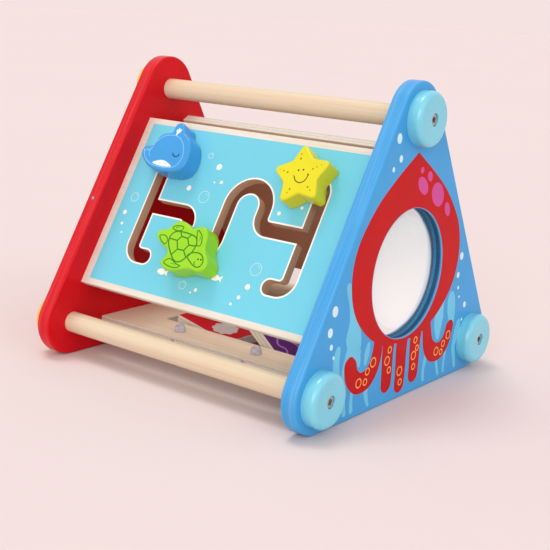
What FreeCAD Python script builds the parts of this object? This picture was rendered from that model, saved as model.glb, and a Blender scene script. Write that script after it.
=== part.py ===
import FreeCAD, Part
import math
import os
import Sketcher

# Triangular wooden activity box. Two end boards stand on edge, joined by three round rails.
# Three panels between them carry a sliding maze (front), nothing (rear) and two flip doors (base).
# Frame: X along the rails, Y from the maze side to the rear, Z up, origin on the floor under the middle.

Vector = FreeCAD.Vector
Placement = FreeCAD.Placement
Rotation = FreeCAD.Rotation

os.makedirs("parts", exist_ok=True)
doc = FreeCAD.newDocument("activity_box")

# Driving dimensions in millimetres: alias, value, meaning.
SIZES = [
    ("rail_spacing", 200.0, "side of the triangle that joins the rail centres"),
    ("inner_gap", 218.0, "clear length between the end boards"),
    ("board_thickness", 12.0, "end board thickness"),
    ("corner_radius", 25.0, "end board corner radius, about each rail centre"),
    ("board_edge_round", 1.8, "rounding of the end boards' edges"),
    ("rail_diameter", 15.5, "round rails"),
    ("rail_socket_depth", 5.0, "depth of each rail's seat in an end board"),
    ("seat_gap", 0.1, "clearance round every glued or seated end"),
    ("groove_depth", 4.0, "depth of the panel grooves in the end boards"),
    ("panel_margin", 30.0, "rail centre to the nearest panel edge, along the side"),
    ("panel_setback", 0.9, "rail centre plane to a panel's inner face"),
    ("panel_thickness", 7.5, "maze, rear and base panels"),
    ("panel_edge_round", 0.8, "rounding of the panels' long edges"),
    ("mirror_diameter", 92.0, "round recess in one end board"),
    ("mirror_rise", 8.3, "recess centre above the triangle's centre"),
    ("mirror_recess", 8.0, "depth of the recess"),
    ("mirror_thickness", 2.0, "mirror disc"),
    ("cap_diameter", 38.0, "round end caps"),
    ("cap_thickness", 10.0, "end cap thickness"),
    ("cap_edge_round", 4.0, "rounding of the caps' outer edge"),
    ("screw_diameter", 5.0, "end cap screw shank"),
    ("screw_head_lip", 1.7, "width of a cap screw's head beyond its shank"),
    ("screw_head_height", 4.5, "cap screw head height"),
    ("head_gap", 0.3, "clearance round a head in its counterbore"),
    ("head_sink", 1.0, "depth of a head below the cap's face"),
    ("hex_socket_width", 4.0, "key size across flats"),
    ("hex_socket_depth", 2.4, "key socket depth"),
    ("insert_wall", 1.5, "wall of the threaded insert in a rail's end"),
    ("insert_length", 13.0, "threaded insert length"),
    ("well_spare", 3.0, "depth of an insert's hole beyond the insert"),
    ("track_width", 11.0, "width of the maze track"),
    ("track_side", 73.0, "maze centre to a side track"),
    ("track_hook_side", 58.5, "maze centre to a hook's end"),
    ("track_hook_rise", 39.3, "maze centre line to a hook"),
    ("track_corner", 8.5, "centre-line radius of a side track's corners"),
    ("bend_radius", 15.5, "centre-line radius of the two big bends"),
    ("bend_rise", 13.7, "maze centre line to a big bend's centre"),
    ("branch_corner", 8.0, "centre-line radius where a branch turns"),
    ("block_thickness", 14.5, "animal blocks"),
    ("block_round", 1.6, "rounding of the blocks' front edges"),
    ("block_scale", 1.0, "size of the animal outlines"),
    ("block_float", 0.5, "gap from the maze face to a block"),
    ("track_clearance", 1.0, "gap each side of a runner's neck in the track"),
    ("flange_overlap", 4.5, "reach of a runner's flange behind each side of the track"),
    ("runner_flange_thickness", 2.5, "runner flange"),
    ("runner_float", 0.3, "gap from the maze's back to a flange"),
    ("slider_screw", 3.5, "slider screw shank diameter"),
    ("slider_screw_grip", 9.0, "length of a slider screw inside its block"),
    ("slider_screw_head_lip", 1.75, "width of a slider screw's head beyond its shank"),
    ("slider_screw_head_height", 2.2, "slider screw head height"),
    ("slider_screw_key", 2.5, "key size of a slider screw, across flats"),
    ("slider_screw_key_depth", 1.2, "key socket depth of a slider screw"),
    ("turning_gap", 0.05, "radial clearance of a turning fit"),
    ("door_length", 51.0, "flip door, along the rails"),
    ("door_width", 75.0, "flip door, across the base"),
    ("door_thickness", 9.0, "flip door"),
    ("door_edge_round", 1.0, "rounding of a door's long edges"),
    ("door_centre", 33.8, "base centre to a door's pivot"),
    ("door_side_gap", 1.0, "gap beside a door"),
    ("door_end_gap", 11.0, "gap from a door's end to the end of the opening"),
    ("pivot_pin", 4.0, "door pivot pin diameter"),
    ("pivot_pin_grip", 10.0, "length of a pivot pin inside a door"),
    ("first_door_tilt", 12.0, "resting angle of the first door, degrees"),
    ("second_door_tilt", 40.0, "resting angle of the second door, degrees"),
    ("dome_diameter", 8.0, "clear domes on the base panel"),
    ("dome_collar", 2.2, "straight part of a dome"),
    ("dome_setback", 14.5, "front edge of the base panel to a dome"),
    ("edge_pin_diameter", 2.6, "pin in the front edge of one board"),
    ("edge_pin_stop", 2.8, "wood left between that pin and the panel groove"),
    ("edge_pin_height", 91.7, "front rail centre to that pin, up the side"),
]

sheet = doc.addObject("Spreadsheet::Sheet", "sizes")
for row, (alias, value, meaning) in enumerate(SIZES, start=1):
    sheet.set("A%d" % row, meaning)
    sheet.set("B%d" % row, "%g" % value)
    sheet.setAlias("B%d" % row, alias)
doc.recompute()

# Sizes that follow from others, as sheet expressions.
SCREW_HOLE = "sizes.screw_diameter + 4 * sizes.seat_gap"
SCREW_HEAD = "sizes.screw_diameter + 2 * sizes.screw_head_lip"
HEAD_DEPTH = "(sizes.screw_head_height + sizes.head_sink)"
SCREW_LENGTH = ("sizes.cap_thickness - " + HEAD_DEPTH + " + sizes.board_thickness"
                " - sizes.rail_socket_depth + sizes.seat_gap + sizes.insert_length")
INSERT_OUTSIDE = "sizes.screw_diameter + 2 * sizes.turning_gap + 2 * sizes.insert_wall"
PIN_HOLE = "sizes.pivot_pin + 2 * sizes.turning_gap"
SLIDER_SCREW_HEAD = "sizes.slider_screw + 2 * sizes.slider_screw_head_lip"
NECK_TOP = "sizes.panel_thickness + sizes.block_float - 2 * sizes.seat_gap"
EDGE_PIN_LENGTH = ("sizes.corner_radius - sizes.panel_setback - sizes.panel_thickness"
                   " - sizes.edge_pin_stop + 2 * sizes.seat_gap")

nodes = []


def size(alias):
    """Current value of a driving dimension."""
    return float(sheet.get(alias))


# Places that follow from the driving dimensions, in the end boards' plane as (y, z).
RISE = size("rail_spacing") * math.sqrt(3.0) / 2.0
FRONT_RAIL = (-size("rail_spacing") / 2.0, size("corner_radius"))
REAR_RAIL = (size("rail_spacing") / 2.0, size("corner_radius"))
TOP_RAIL = (0.0, size("corner_radius") + RISE)
RAIL_CENTRES = {"top": TOP_RAIL, "front": FRONT_RAIL, "rear": REAR_RAIL}
# Each side of the triangle: the rail centre it starts from and its direction, in degrees.
SIDES = {"front": (FRONT_RAIL, 60.0), "rear": (TOP_RAIL, -60.0), "base": (REAR_RAIL, 180.0)}
BOARD_FACE = size("inner_gap") / 2.0
CAP_SEAT = BOARD_FACE + size("board_thickness")

# A flat drawing of the end view turns into the YZ plane, its thickness along +X or along -X.
TO_PLUS_X = Rotation(Vector(1, 1, 1), 120)
TO_MINUS_X = Rotation(Vector(0, 0, 1), 180) * TO_PLUS_X


def bind(item, **expressions):
    """Tie properties of an object to the sheet."""
    for name, expression in expressions.items():
        item.setExpression(name, expression)


def keep(item, label):
    """Name a finished sub-part and list it for export."""
    item.Label = label
    nodes.append(item)
    return item


def new_sketch(body, name, x="0", y="0", z="0", turn=0.0, role="XY_Plane"):
    """Sketch on an origin plane of the body, its own origin moved to (x, y, z) and turned."""
    sketch = body.newObject("Sketcher::SketchObject", name)
    plane = next(item for item in body.Origin.OriginFeatures if item.Role == role)
    sketch.AttachmentSupport = [(plane, "")]
    sketch.MapMode = "FlatFace"
    sketch.AttachmentOffset = Placement(Vector(), Rotation(Vector(0, 0, 1), turn))
    sketch.setExpression("AttachmentOffset.Base.x", x)
    sketch.setExpression("AttachmentOffset.Base.y", y)
    sketch.setExpression("AttachmentOffset.Base.z", z)
    return sketch


def limit(sketch, constraint, expression):
    """Add a constraint whose value comes from the sheet."""
    index = sketch.addConstraint(constraint)
    sketch.setExpression("Constraints[%d]" % index, expression)


def draw_circle(sketch, diameter):
    """Circle about the sketch's origin."""
    circle = sketch.addGeometry(Part.Circle(Vector(), Vector(0, 0, 1), 10.0))
    sketch.addConstraint(Sketcher.Constraint("Coincident", circle, 3, -1, 1))
    limit(sketch, Sketcher.Constraint("Diameter", circle, 20.0), diameter)


def draw_box(sketch, left, right, low, high):
    """Rectangle with its edges at four distances from the sketch's axes, all positive."""
    corners = [Vector(1, 1, 0), Vector(2, 1, 0), Vector(2, 2, 0), Vector(1, 2, 0)]
    lines = []
    for index, corner in enumerate(corners):
        lines.append(sketch.addGeometry(Part.LineSegment(corner, corners[(index + 1) % 4])))
    for index in range(4):
        join = Sketcher.Constraint("Coincident", lines[index], 2, lines[(index + 1) % 4], 1)
        sketch.addConstraint(join)
    for index, direction in enumerate(("Horizontal", "Vertical", "Horizontal", "Vertical")):
        sketch.addConstraint(Sketcher.Constraint(direction, lines[index]))
    limit(sketch, Sketcher.Constraint("DistanceX", -1, 1, lines[0], 1, 1.0), left)
    limit(sketch, Sketcher.Constraint("DistanceX", -1, 1, lines[0], 2, 2.0), right)
    limit(sketch, Sketcher.Constraint("DistanceY", -1, 1, lines[0], 1, 1.0), low)
    limit(sketch, Sketcher.Constraint("DistanceY", -1, 1, lines[2], 1, 2.0), high)


def pad(body, sketch, length, downward=False):
    """Pad a sketch up (or down) from its own plane."""
    feature = body.newObject("PartDesign::Pad", sketch.Name + "_pad")
    feature.Profile = sketch
    feature.Reversed = downward
    bind(feature, Length=length)
    doc.recompute()
    return feature


def pocket(body, sketch, depth, upward=False, both_ways=False):
    """Pocket a sketch down (or up, or both ways) from its own plane and make sure that it cuts."""
    before = body.Shape.Volume
    feature = body.newObject("PartDesign::Pocket", sketch.Name + "_pocket")
    feature.Profile = sketch
    feature.Reversed = upward
    feature.Midplane = both_ways
    bind(feature, Length=depth)
    doc.recompute()
    if not body.Shape.Volume < before:
        raise RuntimeError("pocket %s cuts nothing" % feature.Name)
    return feature


def round_edges(body, base, name, radius, chosen):
    """Fillet the edges of a feature that a test picks out."""
    names = []
    for index, edge in enumerate(base.Shape.Edges, start=1):
        if chosen(edge):
            names.append("Edge%d" % index)
    feature = body.newObject("PartDesign::Fillet", name)
    feature.Base = (base, names)
    bind(feature, Radius=radius)
    doc.recompute()
    return feature


def at_height(height):
    """Test for edges that lie flat at one height."""
    def chosen(edge):
        box = edge.BoundBox
        return abs(box.ZMin - height) < 1e-4 and abs(box.ZMax - height) < 1e-4
    return chosen


def is_upright(edge):
    """Test for straight edges that run through the thickness."""
    box = edge.BoundBox
    return box.XLength < 1e-4 and box.YLength < 1e-4


def end_board(label, with_mirror):
    """Rounded triangular board, drawn with its inner face at height 0."""
    body = doc.addObject("PartDesign::Body", label)
    outline = new_sketch(body, label + "_outline")
    half = 100.0
    points = [Vector(-half, 0, 0), Vector(half, 0, 0), Vector(0, half * math.sqrt(3.0), 0)]
    lines = []
    for index, point in enumerate(points):
        lines.append(outline.addGeometry(Part.LineSegment(point, points[(index + 1) % 3])))
    for index in range(3):
        join = Sketcher.Constraint("Coincident", lines[index], 2, lines[(index + 1) % 3], 1)
        outline.addConstraint(join)
    outline.addConstraint(Sketcher.Constraint("Symmetric", lines[0], 1, lines[0], 2, -1, 1))
    outline.addConstraint(Sketcher.Constraint("Horizontal", lines[0]))
    outline.addConstraint(Sketcher.Constraint("Equal", lines[0], lines[1]))
    outline.addConstraint(Sketcher.Constraint("Equal", lines[0], lines[2]))
    side = "sizes.rail_spacing + 2 * sqrt(3) * sizes.corner_radius"
    limit(outline, Sketcher.Constraint("Distance", lines[0], 2 * half), side)
    plate = pad(body, outline, "sizes.board_thickness")
    corners = round_edges(body, plate, label + "_corners", "sizes.corner_radius", is_upright)
    faces = (at_height(0.0), at_height(size("board_thickness")))
    round_edges(body, corners, label + "_edges", "sizes.board_edge_round",
                lambda edge: faces[0](edge) or faces[1](edge))
    for name, (y, z) in RAIL_CENTRES.items():
        seat = new_sketch(body, "%s_%s_seat" % (label, name), str(y), str(z))
        draw_circle(seat, "sizes.rail_diameter + 2 * sizes.seat_gap")
        pocket(body, seat, "sizes.rail_socket_depth", upward=True)
        hole = new_sketch(body, "%s_%s_hole" % (label, name), str(y), str(z))
        draw_circle(hole, SCREW_HOLE)
        pocket(body, hole, "sizes.board_thickness", upward=True)
    for name, ((y, z), turn) in SIDES.items():
        groove = new_sketch(body, "%s_%s_groove" % (label, name), str(y), str(z), turn=turn)
        draw_box(groove,
                 "sizes.panel_margin - sizes.seat_gap",
                 "sizes.rail_spacing - sizes.panel_margin + sizes.seat_gap",
                 "sizes.panel_setback - sizes.seat_gap",
                 "sizes.panel_setback + sizes.panel_thickness + sizes.seat_gap")
        pocket(body, groove, "sizes.groove_depth", upward=True)
    if with_mirror:
        centre = "sizes.corner_radius + sizes.rail_spacing * sqrt(3) / 6 + sizes.mirror_rise"
        recess = new_sketch(body, label + "_recess", "0", centre, "sizes.board_thickness")
        draw_circle(recess, "sizes.mirror_diameter")
        pocket(body, recess, "sizes.mirror_recess")
    return body


def slope_placement(side, x=0.0, along=0.0, out=0.0):
    """Placement on a side of the triangle: local X along the rails, Y up the side, Z outward."""
    (y, z), turn = SIDES[side]
    rotation = Rotation(Vector(1, 0, 0), turn)
    return Placement(Vector(x, y, z) + rotation.multVec(Vector(0, along, out)), rotation)


def panel_blank(label):
    """Plain panel with eased long edges, centred, its inner face at height 0."""
    body = doc.addObject("PartDesign::Body", label)
    outline = new_sketch(body, label + "_outline",
                         "-(sizes.inner_gap / 2 + sizes.groove_depth)",
                         "-(sizes.rail_spacing / 2 - sizes.panel_margin)")
    draw_box(outline, "sizes.seat_gap", "sizes.inner_gap + 2 * sizes.groove_depth - sizes.seat_gap",
             "0", "sizes.rail_spacing - 2 * sizes.panel_margin")
    plate = pad(body, outline, "sizes.panel_thickness")
    round_edges(body, plate, label + "_edges", "sizes.panel_edge_round",
                lambda edge: edge.BoundBox.XLength > size("inner_gap"))
    return body


def stroke(wire, thickness):
    """Solid of the track's width along an open centre line, with round ends, from -1 upward."""
    outline = wire.makeOffset2D(size("track_width") / 2.0, 0, False, False)
    face = Part.Face(outline)
    face.translate(Vector(0, 0, -1))
    return face.extrude(Vector(0, 0, thickness + 2))


def quarter(centre, radius, start, end):
    """Arc about a centre between two angles in degrees, drawn anticlockwise."""
    circle = Part.Circle(Vector(centre[0], centre[1], 0), Vector(0, 0, 1), radius)
    return Part.Arc(circle, math.radians(start), math.radians(end)).toShape()


def line(start, end):
    """Straight edge between two places on the panel."""
    return Part.makeLine(Vector(start[0], start[1], 0), Vector(end[0], end[1], 0))


def side_track(sign):
    """Centre line of one side track: a long straight run with a short hook at each end."""
    side = sign * size("track_side")
    hook = sign * size("track_hook_side")
    rise = size("track_hook_rise")
    radius = size("track_corner")
    turn = side - sign * radius
    upper = (0, 90) if sign > 0 else (90, 180)
    lower = (270, 360) if sign > 0 else (180, 270)
    edges = [
        line((hook, rise), (turn, rise)),
        quarter((turn, rise - radius), radius, *upper),
        line((side, rise - radius), (side, radius - rise)),
        quarter((turn, radius - rise), radius, *lower),
        line((turn, -rise), (hook, -rise)),
    ]
    return Part.Wire(Part.__sortEdges__(edges))


def middle_track():
    """Centre line across the middle: in from the left, round two big bends and out to the right."""
    big = size("bend_radius")
    rise = size("bend_rise")
    small = size("branch_corner")
    branch_end = size("track_side") - size("track_width") / 4.0
    edges = [
        line((-branch_end, 0), (-2 * big - small, 0)),
        quarter((-2 * big - small, -small), small, 0, 90),
        line((-2 * big, -small), (-2 * big, -rise)),
        quarter((-big, -rise), big, 180, 360),
        line((0, -rise), (0, rise)),
        quarter((big, rise), big, 0, 180),
        line((2 * big, rise), (2 * big, small)),
        quarter((2 * big + small, small), small, 180, 270),
        line((2 * big + small, 0), (branch_end, 0)),
    ]
    return Part.Wire(Part.__sortEdges__(edges))


def maze_panel():
    """Front panel with the track cut right through it."""
    blank = panel_blank("maze_blank")
    thickness = size("panel_thickness")
    track = doc.addObject("Part::Feature", "maze_track")
    left = stroke(side_track(-1), thickness)
    right = stroke(side_track(1), thickness)
    track.Shape = stroke(middle_track(), thickness).fuse([left, right])
    panel = doc.addObject("Part::Cut", "maze_panel")
    panel.Base = blank
    panel.Tool = track
    middle = size("rail_spacing") / 2
    panel.Placement = slope_placement("front", along=middle, out=size("panel_setback"))
    return panel


def base_panel():
    """Bottom panel with one long opening for both doors and a pin hole across it for each door."""
    body = panel_blank("base_panel")
    half_opening = "(sizes.door_centre + sizes.door_length / 2 + sizes.door_end_gap)"
    half_width = "(sizes.door_width / 2 + sizes.door_side_gap)"
    opening = new_sketch(body, "door_opening", "-" + half_opening, "-" + half_width)
    draw_box(opening, "0", "2 * " + half_opening, "0", "2 * " + half_width)
    pocket(body, opening, "sizes.panel_thickness", upward=True)
    for name, sign in (("first", "-"), ("second", "")):
        hole = new_sketch(body, name + "_pin_hole", sign + "sizes.door_centre",
                          "sizes.panel_thickness / 2", role="XZ_Plane")
        draw_circle(hole, PIN_HOLE)
        pocket(body, hole, "sizes.rail_spacing - 2 * sizes.panel_margin + 2", both_ways=True)
    body.Placement = slope_placement("base", along=size("rail_spacing") / 2, out=size("panel_setback"))
    return body


PIVOT_HEIGHT = size("corner_radius") - size("panel_setback") - size("panel_thickness") / 2


def flip_door(label, x, tilt):
    """Flat door that turns about the middle of its own thickness; its left end is raised."""
    body = doc.addObject("PartDesign::Body", label)
    outline = new_sketch(body, label + "_outline", "-sizes.door_length / 2", "-sizes.door_width / 2",
                         "-sizes.door_thickness / 2")
    draw_box(outline, "0", "sizes.door_length", "0", "sizes.door_width")
    plate = pad(body, outline, "sizes.door_thickness")
    round_edges(body, plate, label + "_edges", "sizes.door_edge_round", lambda edge: not is_upright(edge))
    for name, sign, upward in (("front", "", False), ("rear", "-", True)):
        bore = new_sketch(body, "%s_%s_bore" % (label, name), z=sign + "sizes.door_width / 2",
                          role="XZ_Plane")
        draw_circle(bore, PIN_HOLE)
        pocket(body, bore, "sizes.pivot_pin_grip + sizes.door_side_gap", upward=upward)
    body.Placement = Placement(Vector(x, 0, PIVOT_HEIGHT), Rotation(Vector(0, 1, 0), tilt))
    return body


def door_pins(label, x):
    """Two pins, pushed in from the base panel's front and rear edges into a door."""
    pins = []
    length = "sizes.rail_spacing / 2 - sizes.panel_margin - sizes.door_width / 2 + sizes.pivot_pin_grip"
    for name, sign in (("front", -1), ("rear", 1)):
        pin = doc.addObject("Part::Cylinder", "%s_%s" % (label, name))
        bind(pin, Radius="sizes.pivot_pin / 2", Height=length + " - sizes.door_side_gap")
        start = sign * (size("rail_spacing") / 2 - size("panel_margin") - size("door_side_gap"))
        pin.Placement = Placement(Vector(x, start, PIVOT_HEIGHT), Rotation(Vector(1, 0, 0), 90 * sign))
        pins.append(pin)
    return group(label, pins)


def group(label, members):
    """Separate like solids kept as one sub-part."""
    compound = doc.addObject("Part::Compound", label)
    compound.Links = members
    return compound


def copies(label, master, placements):
    """Separate copies of one small piece, kept as one sub-part."""
    links = []
    for index, placement in enumerate(placements, start=1):
        link = doc.addObject("App::Link", "%s_%d" % (label, index))
        link.LinkedObject = master
        link.Placement = placement
        links.append(link)
    return group(label, links)


def rail(label, centre):
    """Round rail with a well in each end for its threaded insert."""
    body = doc.addObject("PartDesign::Body", label)
    length = "sizes.inner_gap + 2 * (sizes.rail_socket_depth - sizes.seat_gap)"
    outline = new_sketch(body, label + "_outline")
    draw_circle(outline, "sizes.rail_diameter")
    pad(body, outline, length)
    for name, height, upward in (("near", "0", True), ("far", length, False)):
        well = new_sketch(body, "%s_%s_well" % (label, name), z=height)
        draw_circle(well, INSERT_OUTSIDE + " + 2 * sizes.turning_gap")
        pocket(body, well, "sizes.insert_length + sizes.well_spare", upward=upward)
    start = size("seat_gap") - BOARD_FACE - size("rail_socket_depth")
    body.Placement = Placement(Vector(start, *centre), TO_PLUS_X)
    return body


def threaded_insert():
    """Tube that a cap screw turns into; its outer end is at height 0."""
    body = doc.addObject("PartDesign::Body", "threaded_insert")
    outline = new_sketch(body, "insert_outline")
    draw_circle(outline, INSERT_OUTSIDE)
    draw_circle(outline, "sizes.screw_diameter + 2 * sizes.turning_gap")
    pad(body, outline, "sizes.insert_length")
    return body


def end_cap(label, placement):
    """Round cap with a soft outer edge and a counterbored screw hole."""
    body = doc.addObject("PartDesign::Body", label)
    outline = new_sketch(body, label + "_outline")
    draw_circle(outline, "sizes.cap_diameter")
    disc = pad(body, outline, "sizes.cap_thickness")
    round_edges(body, disc, label + "_edge", "sizes.cap_edge_round", at_height(size("cap_thickness")))
    hole = new_sketch(body, label + "_hole")
    draw_circle(hole, SCREW_HOLE)
    pocket(body, hole, "sizes.cap_thickness", upward=True)
    seat = new_sketch(body, label + "_counterbore", z="sizes.cap_thickness")
    draw_circle(seat, SCREW_HEAD + " + 2 * sizes.head_gap")
    pocket(body, seat, HEAD_DEPTH)
    body.Placement = placement
    return body


def draw_hexagon(sketch, width):
    """Regular hexagon about the sketch's origin, given its width across flats."""
    corners = [Vector(math.cos(math.radians(60 * k)), math.sin(math.radians(60 * k)), 0) for k in range(6)]
    circle = sketch.addGeometry(Part.Circle(Vector(), Vector(0, 0, 1), 1.0), True)
    sketch.addConstraint(Sketcher.Constraint("Coincident", circle, 3, -1, 1))
    limit(sketch, Sketcher.Constraint("Diameter", circle, 2.0), width + " / cos(30)")
    lines = []
    for index, corner in enumerate(corners):
        lines.append(sketch.addGeometry(Part.LineSegment(corner, corners[(index + 1) % 6])))
    for index in range(6):
        join = Sketcher.Constraint("Coincident", lines[index], 2, lines[(index + 1) % 6], 1)
        sketch.addConstraint(join)
        sketch.addConstraint(Sketcher.Constraint("PointOnObject", lines[index], 1, circle))
    for index in range(1, 6):
        sketch.addConstraint(Sketcher.Constraint("Equal", lines[0], lines[index]))
    sketch.addConstraint(Sketcher.Constraint("PointOnObject", lines[0], 1, -1))


def socket_screw(label, shank, length, head, head_height, key, key_depth):
    """Screw with a hexagon socket, drawn with the underside of its head at height 0."""
    body = doc.addObject("PartDesign::Body", label)
    head_outline = new_sketch(body, label + "_head")
    draw_circle(head_outline, head)
    pad(body, head_outline, head_height, downward=True)
    shank_outline = new_sketch(body, label + "_shank")
    draw_circle(shank_outline, shank)
    pad(body, shank_outline, length)
    socket = new_sketch(body, label + "_socket", z="-" + head_height)
    draw_hexagon(socket, key)
    pocket(body, socket, key_depth, upward=True)
    return body


def smooth_outline(points):
    """Closed smooth outline through a few points, scaled together."""
    curve = Part.BSplineCurve()
    scaled = [Vector(x, y, 0) * size("block_scale") for x, y in points]
    curve.interpolate(Points=scaled, PeriodicFlag=True)
    return Part.Wire(curve.toShape())


def rounded_star(tip, notch, tilt, tip_round, notch_round):
    """Closed five-pointed outline with an arc at each tip and each notch."""
    corners = []
    for index in range(10):
        reach = (tip if index % 2 == 0 else notch) * size("block_scale")
        angle = math.radians(90 + tilt + 36 * index)
        corners.append(Vector(reach * math.cos(angle), reach * math.sin(angle), 0))
    starts, ends, middles = [], [], []
    for index, corner in enumerate(corners):
        before = (corners[index - 1] - corner).normalize()
        after = (corners[(index + 1) % 10] - corner).normalize()
        half = before.getAngle(after) / 2
        radius = (tip_round if index % 2 == 0 else notch_round) * size("block_scale")
        inward = (before + after).normalize()
        starts.append(corner + before * (radius / math.tan(half)))
        ends.append(corner + after * (radius / math.tan(half)))
        middles.append(corner + inward * (radius / math.sin(half) - radius))
    edges = []
    for index in range(10):
        edges.append(Part.Arc(starts[index], middles[index], ends[index]).toShape())
        edges.append(Part.makeLine(ends[index], starts[(index + 1) % 10]))
    return Part.Wire(edges)


# Animal outlines round the neck of their runner, seen from the front: x to the right, y up the side.
WHALE = [
    (-28.5, -2), (-26, 1.8), (-20.5, 3), (-17.5, 9), (-12.5, 14), (-6, 16), (-5.5, 21), (-1, 24),
    (3.5, 21), (5.5, 17), (11.5, 13), (16.8, 5.5), (18.5, -3), (16, -11.5), (9, -15), (0, -15.8),
    (-10, -15.3), (-19, -12.5), (-25.5, -7.5),
]
TURTLE = [
    (-26, 6), (-24, 9), (-19, 10.3), (-15.5, 13.5), (-12, 17.3), (-6, 18.5), (0, 16.5), (4.2, 14.8),
    (8.5, 16.5), (13.5, 17.7), (18.5, 13.5), (20.5, 6), (22.5, 0.5), (27, -5), (28, -10.5),
    (23.5, -14.5), (14, -14.6), (7, -16.2), (0, -18.3), (-8, -18), (-13, -14), (-11, -9.5),
    (-11, -5.2), (-16, -2.3), (-23.5, 1.7),
]
STAR_TIP, STAR_NOTCH, STAR_TILT, STAR_TIP_ROUND, STAR_NOTCH_ROUND = 24.5, 14.0, 14.0, 3.0, 5.0
STAR_SHIFT = Vector(0.8, -0.9, 0)


def animal_block(label, outline, placement):
    """Thick block of an animal's outline, with a blind screw hole in its back."""
    profile = doc.addObject("Part::Feature", label + "_outline")
    profile.Shape = Part.Face(outline)
    profile.Placement = Placement(Vector(0, 0, size("panel_thickness") + size("block_float")), Rotation())
    solid = doc.addObject("Part::Extrusion", label + "_solid")
    solid.Base = profile
    solid.DirMode = "Custom"
    solid.Dir = Vector(0, 0, 1)
    solid.Solid = True
    bind(solid, LengthFwd="sizes.block_thickness")
    doc.recompute()
    front = at_height(size("panel_thickness") + size("block_float") + size("block_thickness"))
    rounded = doc.addObject("Part::Fillet", label + "_rounded")
    rounded.Base = solid
    radius = size("block_round")
    rounded.Edges = [(k, radius, radius) for k, edge in enumerate(solid.Shape.Edges, start=1) if front(edge)]
    hole = doc.addObject("Part::Cylinder", label + "_hole")
    bind(hole, Radius="sizes.slider_screw / 2", Height="sizes.slider_screw_grip + 1")
    hole.Placement = Placement(Vector(0, 0, size("panel_thickness") + size("block_float")), Rotation())
    block = doc.addObject("Part::Cut", label)
    block.Base = rounded
    block.Tool = hole
    block.Placement = placement
    return block


def runner(label, placement):
    """Flanged bush: the flange stays behind the maze, the neck stands in the track."""
    body = doc.addObject("PartDesign::Body", label)
    back = "-(sizes.runner_float + sizes.runner_flange_thickness)"
    flange = new_sketch(body, label + "_flange", z=back)
    draw_circle(flange, "sizes.track_width + 2 * sizes.flange_overlap")
    pad(body, flange, "sizes.runner_flange_thickness")
    neck = new_sketch(body, label + "_neck", z="-sizes.runner_float")
    draw_circle(neck, "sizes.track_width - 2 * sizes.track_clearance")
    pad(body, neck, "sizes.runner_float + " + NECK_TOP)
    bore = new_sketch(body, label + "_bore", z=back)
    draw_circle(bore, "sizes.slider_screw + 2 * sizes.turning_gap")
    pocket(body, bore, "sizes.runner_flange_thickness + sizes.runner_float + " + NECK_TOP, upward=True)
    body.Placement = placement
    return body


def domed_stud(x):
    """Low clear dome on the base panel's upper face."""
    front_edge = -(size("rail_spacing") / 2 - size("panel_margin"))
    foot = Vector(x, front_edge + size("dome_setback"), size("corner_radius") - size("panel_setback"))
    collar = doc.addObject("Part::Cylinder", "dome_collar")
    bind(collar, Radius="sizes.dome_diameter / 2", Height="sizes.dome_collar")
    collar.Placement = Placement(foot, Rotation())
    crown = doc.addObject("Part::Sphere", "dome_crown")
    bind(crown, Radius="sizes.dome_diameter / 2")
    crown.Angle1 = 0
    crown.Placement = Placement(foot + Vector(0, 0, size("dome_collar")), Rotation())
    dome = doc.addObject("Part::Fuse", "dome")
    dome.Base = collar
    dome.Tool = crown
    return dome


def edge_cylinder(label, gap):
    """Cylinder standing in the front edge of the far board, as wide as the pin plus a gap."""
    rod = doc.addObject("Part::Cylinder", label)
    bind(rod, Radius="sizes.edge_pin_diameter / 2 + %g" % gap, Height=EDGE_PIN_LENGTH)
    depth = size("panel_setback") + size("panel_thickness") + size("edge_pin_stop")
    middle = BOARD_FACE + size("board_thickness") / 2
    rod.Placement = slope_placement("front", -middle, size("edge_pin_height"), depth)
    return rod


# End boards. The one with the mirror is at the +X end.
near_board = keep(end_board("blue_end_board", True), "blue_end_board")
near_board.Placement = Placement(Vector(BOARD_FACE, 0, 0), TO_PLUS_X)
far_blank = end_board("far_board_blank", False)
far_blank.Placement = Placement(Vector(-BOARD_FACE, 0, 0), TO_MINUS_X)
far_board = keep(doc.addObject("Part::Cut", "red_end_board"), "red_end_board")
far_board.Base = far_blank
far_board.Tool = edge_cylinder("edge_pin_hole", size("seat_gap"))
keep(edge_cylinder("edge_pin", 0.0), "board_edge_pin")
mirror = keep(doc.addObject("Part::Cylinder", "mirror"), "mirror_disc")
bind(mirror, Radius="sizes.mirror_diameter / 2 - 2 * sizes.seat_gap", Height="sizes.mirror_thickness")
mirror_height = size("corner_radius") + RISE / 3 + size("mirror_rise")
mirror.Placement = Placement(Vector(CAP_SEAT - size("mirror_recess"), 0, mirror_height), TO_PLUS_X)

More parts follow.
